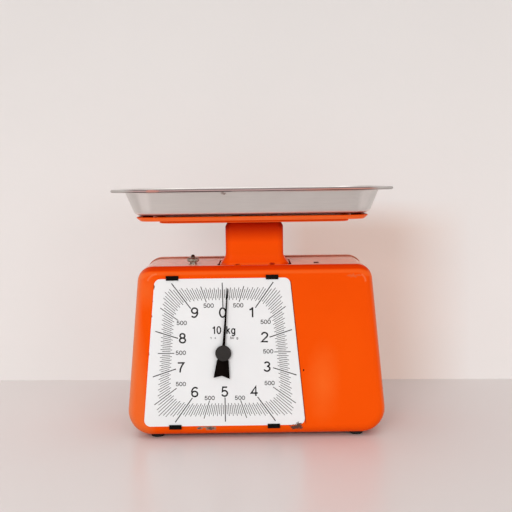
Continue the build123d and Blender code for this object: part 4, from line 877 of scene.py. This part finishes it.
def wall_finish():
    """Painted wall, seen only from its front so that views from behind look past it."""
    wall = Finish("wall")
    across, height = wall.along(0), wall.along(2)
    beside = wall.times(wall.ease(across, 0.02, 0.07), wall.below(across, 0.185, 0.285))
    # Painted shadow with orange bounce light on the wall beside the housing.
    warm_shadow_mask = wall.times(beside, wall.below(height, 0.200, 0.240))
    # Painted shade making the wall darker high up.
    lift = wall.ease(height, 0.14, 0.52)

    def toned(colour):
        """The wall a little darker high up with painted shade, and a warm painted shadow with painted orange
        bounce light beside the housing.
        """
        upright = wall.mix(lift, scaled(colour, WALL_LOW_SHARE), scaled(colour, WALL_HIGH_SHARE))
        warm = tuple(c * share for c, share in zip(colour, WALL_WARM_SHADOW))
        return wall.tint(upright, warm_shadow_mask, warm)

    lighter = scaled(WALL_COLOUR, WALL_CLOUD_SHARE)
    wall.colour(wall.mix(wall.cloud(5.0, 4.0), toned(WALL_COLOUR), toned(lighter)))
    wall.rough(wall.ease(wall.noise(60.0, 4.0), 0.3, 0.7, 0.7, 0.8))
    wall.bump(wall.noise(180.0, 3.0), 0.0003, 0.3)
    plain = wall.node("ShaderNodeEmission")
    wall.feed(plain.inputs["Color"], toned(WALL_PLAIN))
    blend = wall.node("ShaderNodeMixShader")
    wall.feed(blend.inputs[0], wall.times(seen_directly(wall.tree), WALL_PLAIN_SHARE))
    wall.feed(blend.inputs[1], wall.shader.outputs[0])
    wall.feed(blend.inputs[2], plain.outputs[0])
    one_sided = wall.node("ShaderNodeMixShader")
    wall.feed(one_sided.inputs[0], wall.node("ShaderNodeNewGeometry").outputs["Backfacing"])
    wall.feed(one_sided.inputs[1], blend.outputs[0])
    wall.feed(one_sided.inputs[2], wall.node("ShaderNodeBsdfTransparent").outputs[0])
    wall.feed(wall.tree.nodes["Material Output"].inputs["Surface"], one_sided.outputs[0])
    return wall.material


def make_stage():
    half = STAGE_HALF
    plane("table", [(-half, -half, 0), (half, -half, 0), (half, half, 0), (-half, half, 0)], table_finish())
    left, right = (-half, WALL_Y + half * WALL_SLANT), (half, WALL_Y - half * WALL_SLANT)
    plane("wall", [(*left, 0), (*right, 0), (*right, half), (*left, half)], wall_finish())


def area_light(name, place, aim, size, power):
    """A round lamp of a size in metres and a power in watts."""
    data = bpy.data.lights.new(name, "AREA")
    data.shape = "DISK"
    data.size = size
    data.energy = power
    light = bpy.data.objects.new(name, data)
    light.location = place
    light.rotation_mode = "QUATERNION"
    light.rotation_quaternion = (Vector(aim) - Vector(place)).to_track_quat("-Z", "Y")
    bpy.context.scene.collection.objects.link(light)


def make_room():
    """Even light from all round; seen directly, the room is a plain backdrop."""
    world = bpy.data.worlds.new("room")
    bpy.context.scene.world = world
    world.use_nodes = True
    tree = world.node_tree
    soft = tree.nodes["Background"]
    backdrop = tree.nodes.new("ShaderNodeBackground")
    for shade, colour, strength in ((soft, ROOM_LIGHT, ROOM_STRENGTH), (backdrop, BACKDROP_COLOUR, 1.0)):
        shade.inputs["Color"].default_value = (*colour, 1.0)
        shade.inputs["Strength"].default_value = strength
    choose = tree.nodes.new("ShaderNodeMixShader")
    tree.links.new(seen_directly(tree), choose.inputs[0])
    tree.links.new(soft.outputs[0], choose.inputs[1])
    tree.links.new(backdrop.outputs[0], choose.inputs[2])
    tree.links.new(choose.outputs[0], tree.nodes["World Output"].inputs["Surface"])


def make_lights():
    area_light("key", (-1.4, -3.6, 1.5), (0, 0, 0.15), 1.5, 54.0)
    area_light("top", (-0.2, -0.5, 2.6), (0, 0.05, 0), 2.2, 16.0)
    area_light("fill", (2.4, -3.2, 0.9), (0, 0, 0.12), 2.0, 24.0)


# ---------------------------------------------------------------- making
bpy.context.scene.view_settings.view_transform = "Standard"
make_camera()
dress_nodes()
make_dial_print()
make_stage()
make_lights()
make_room()
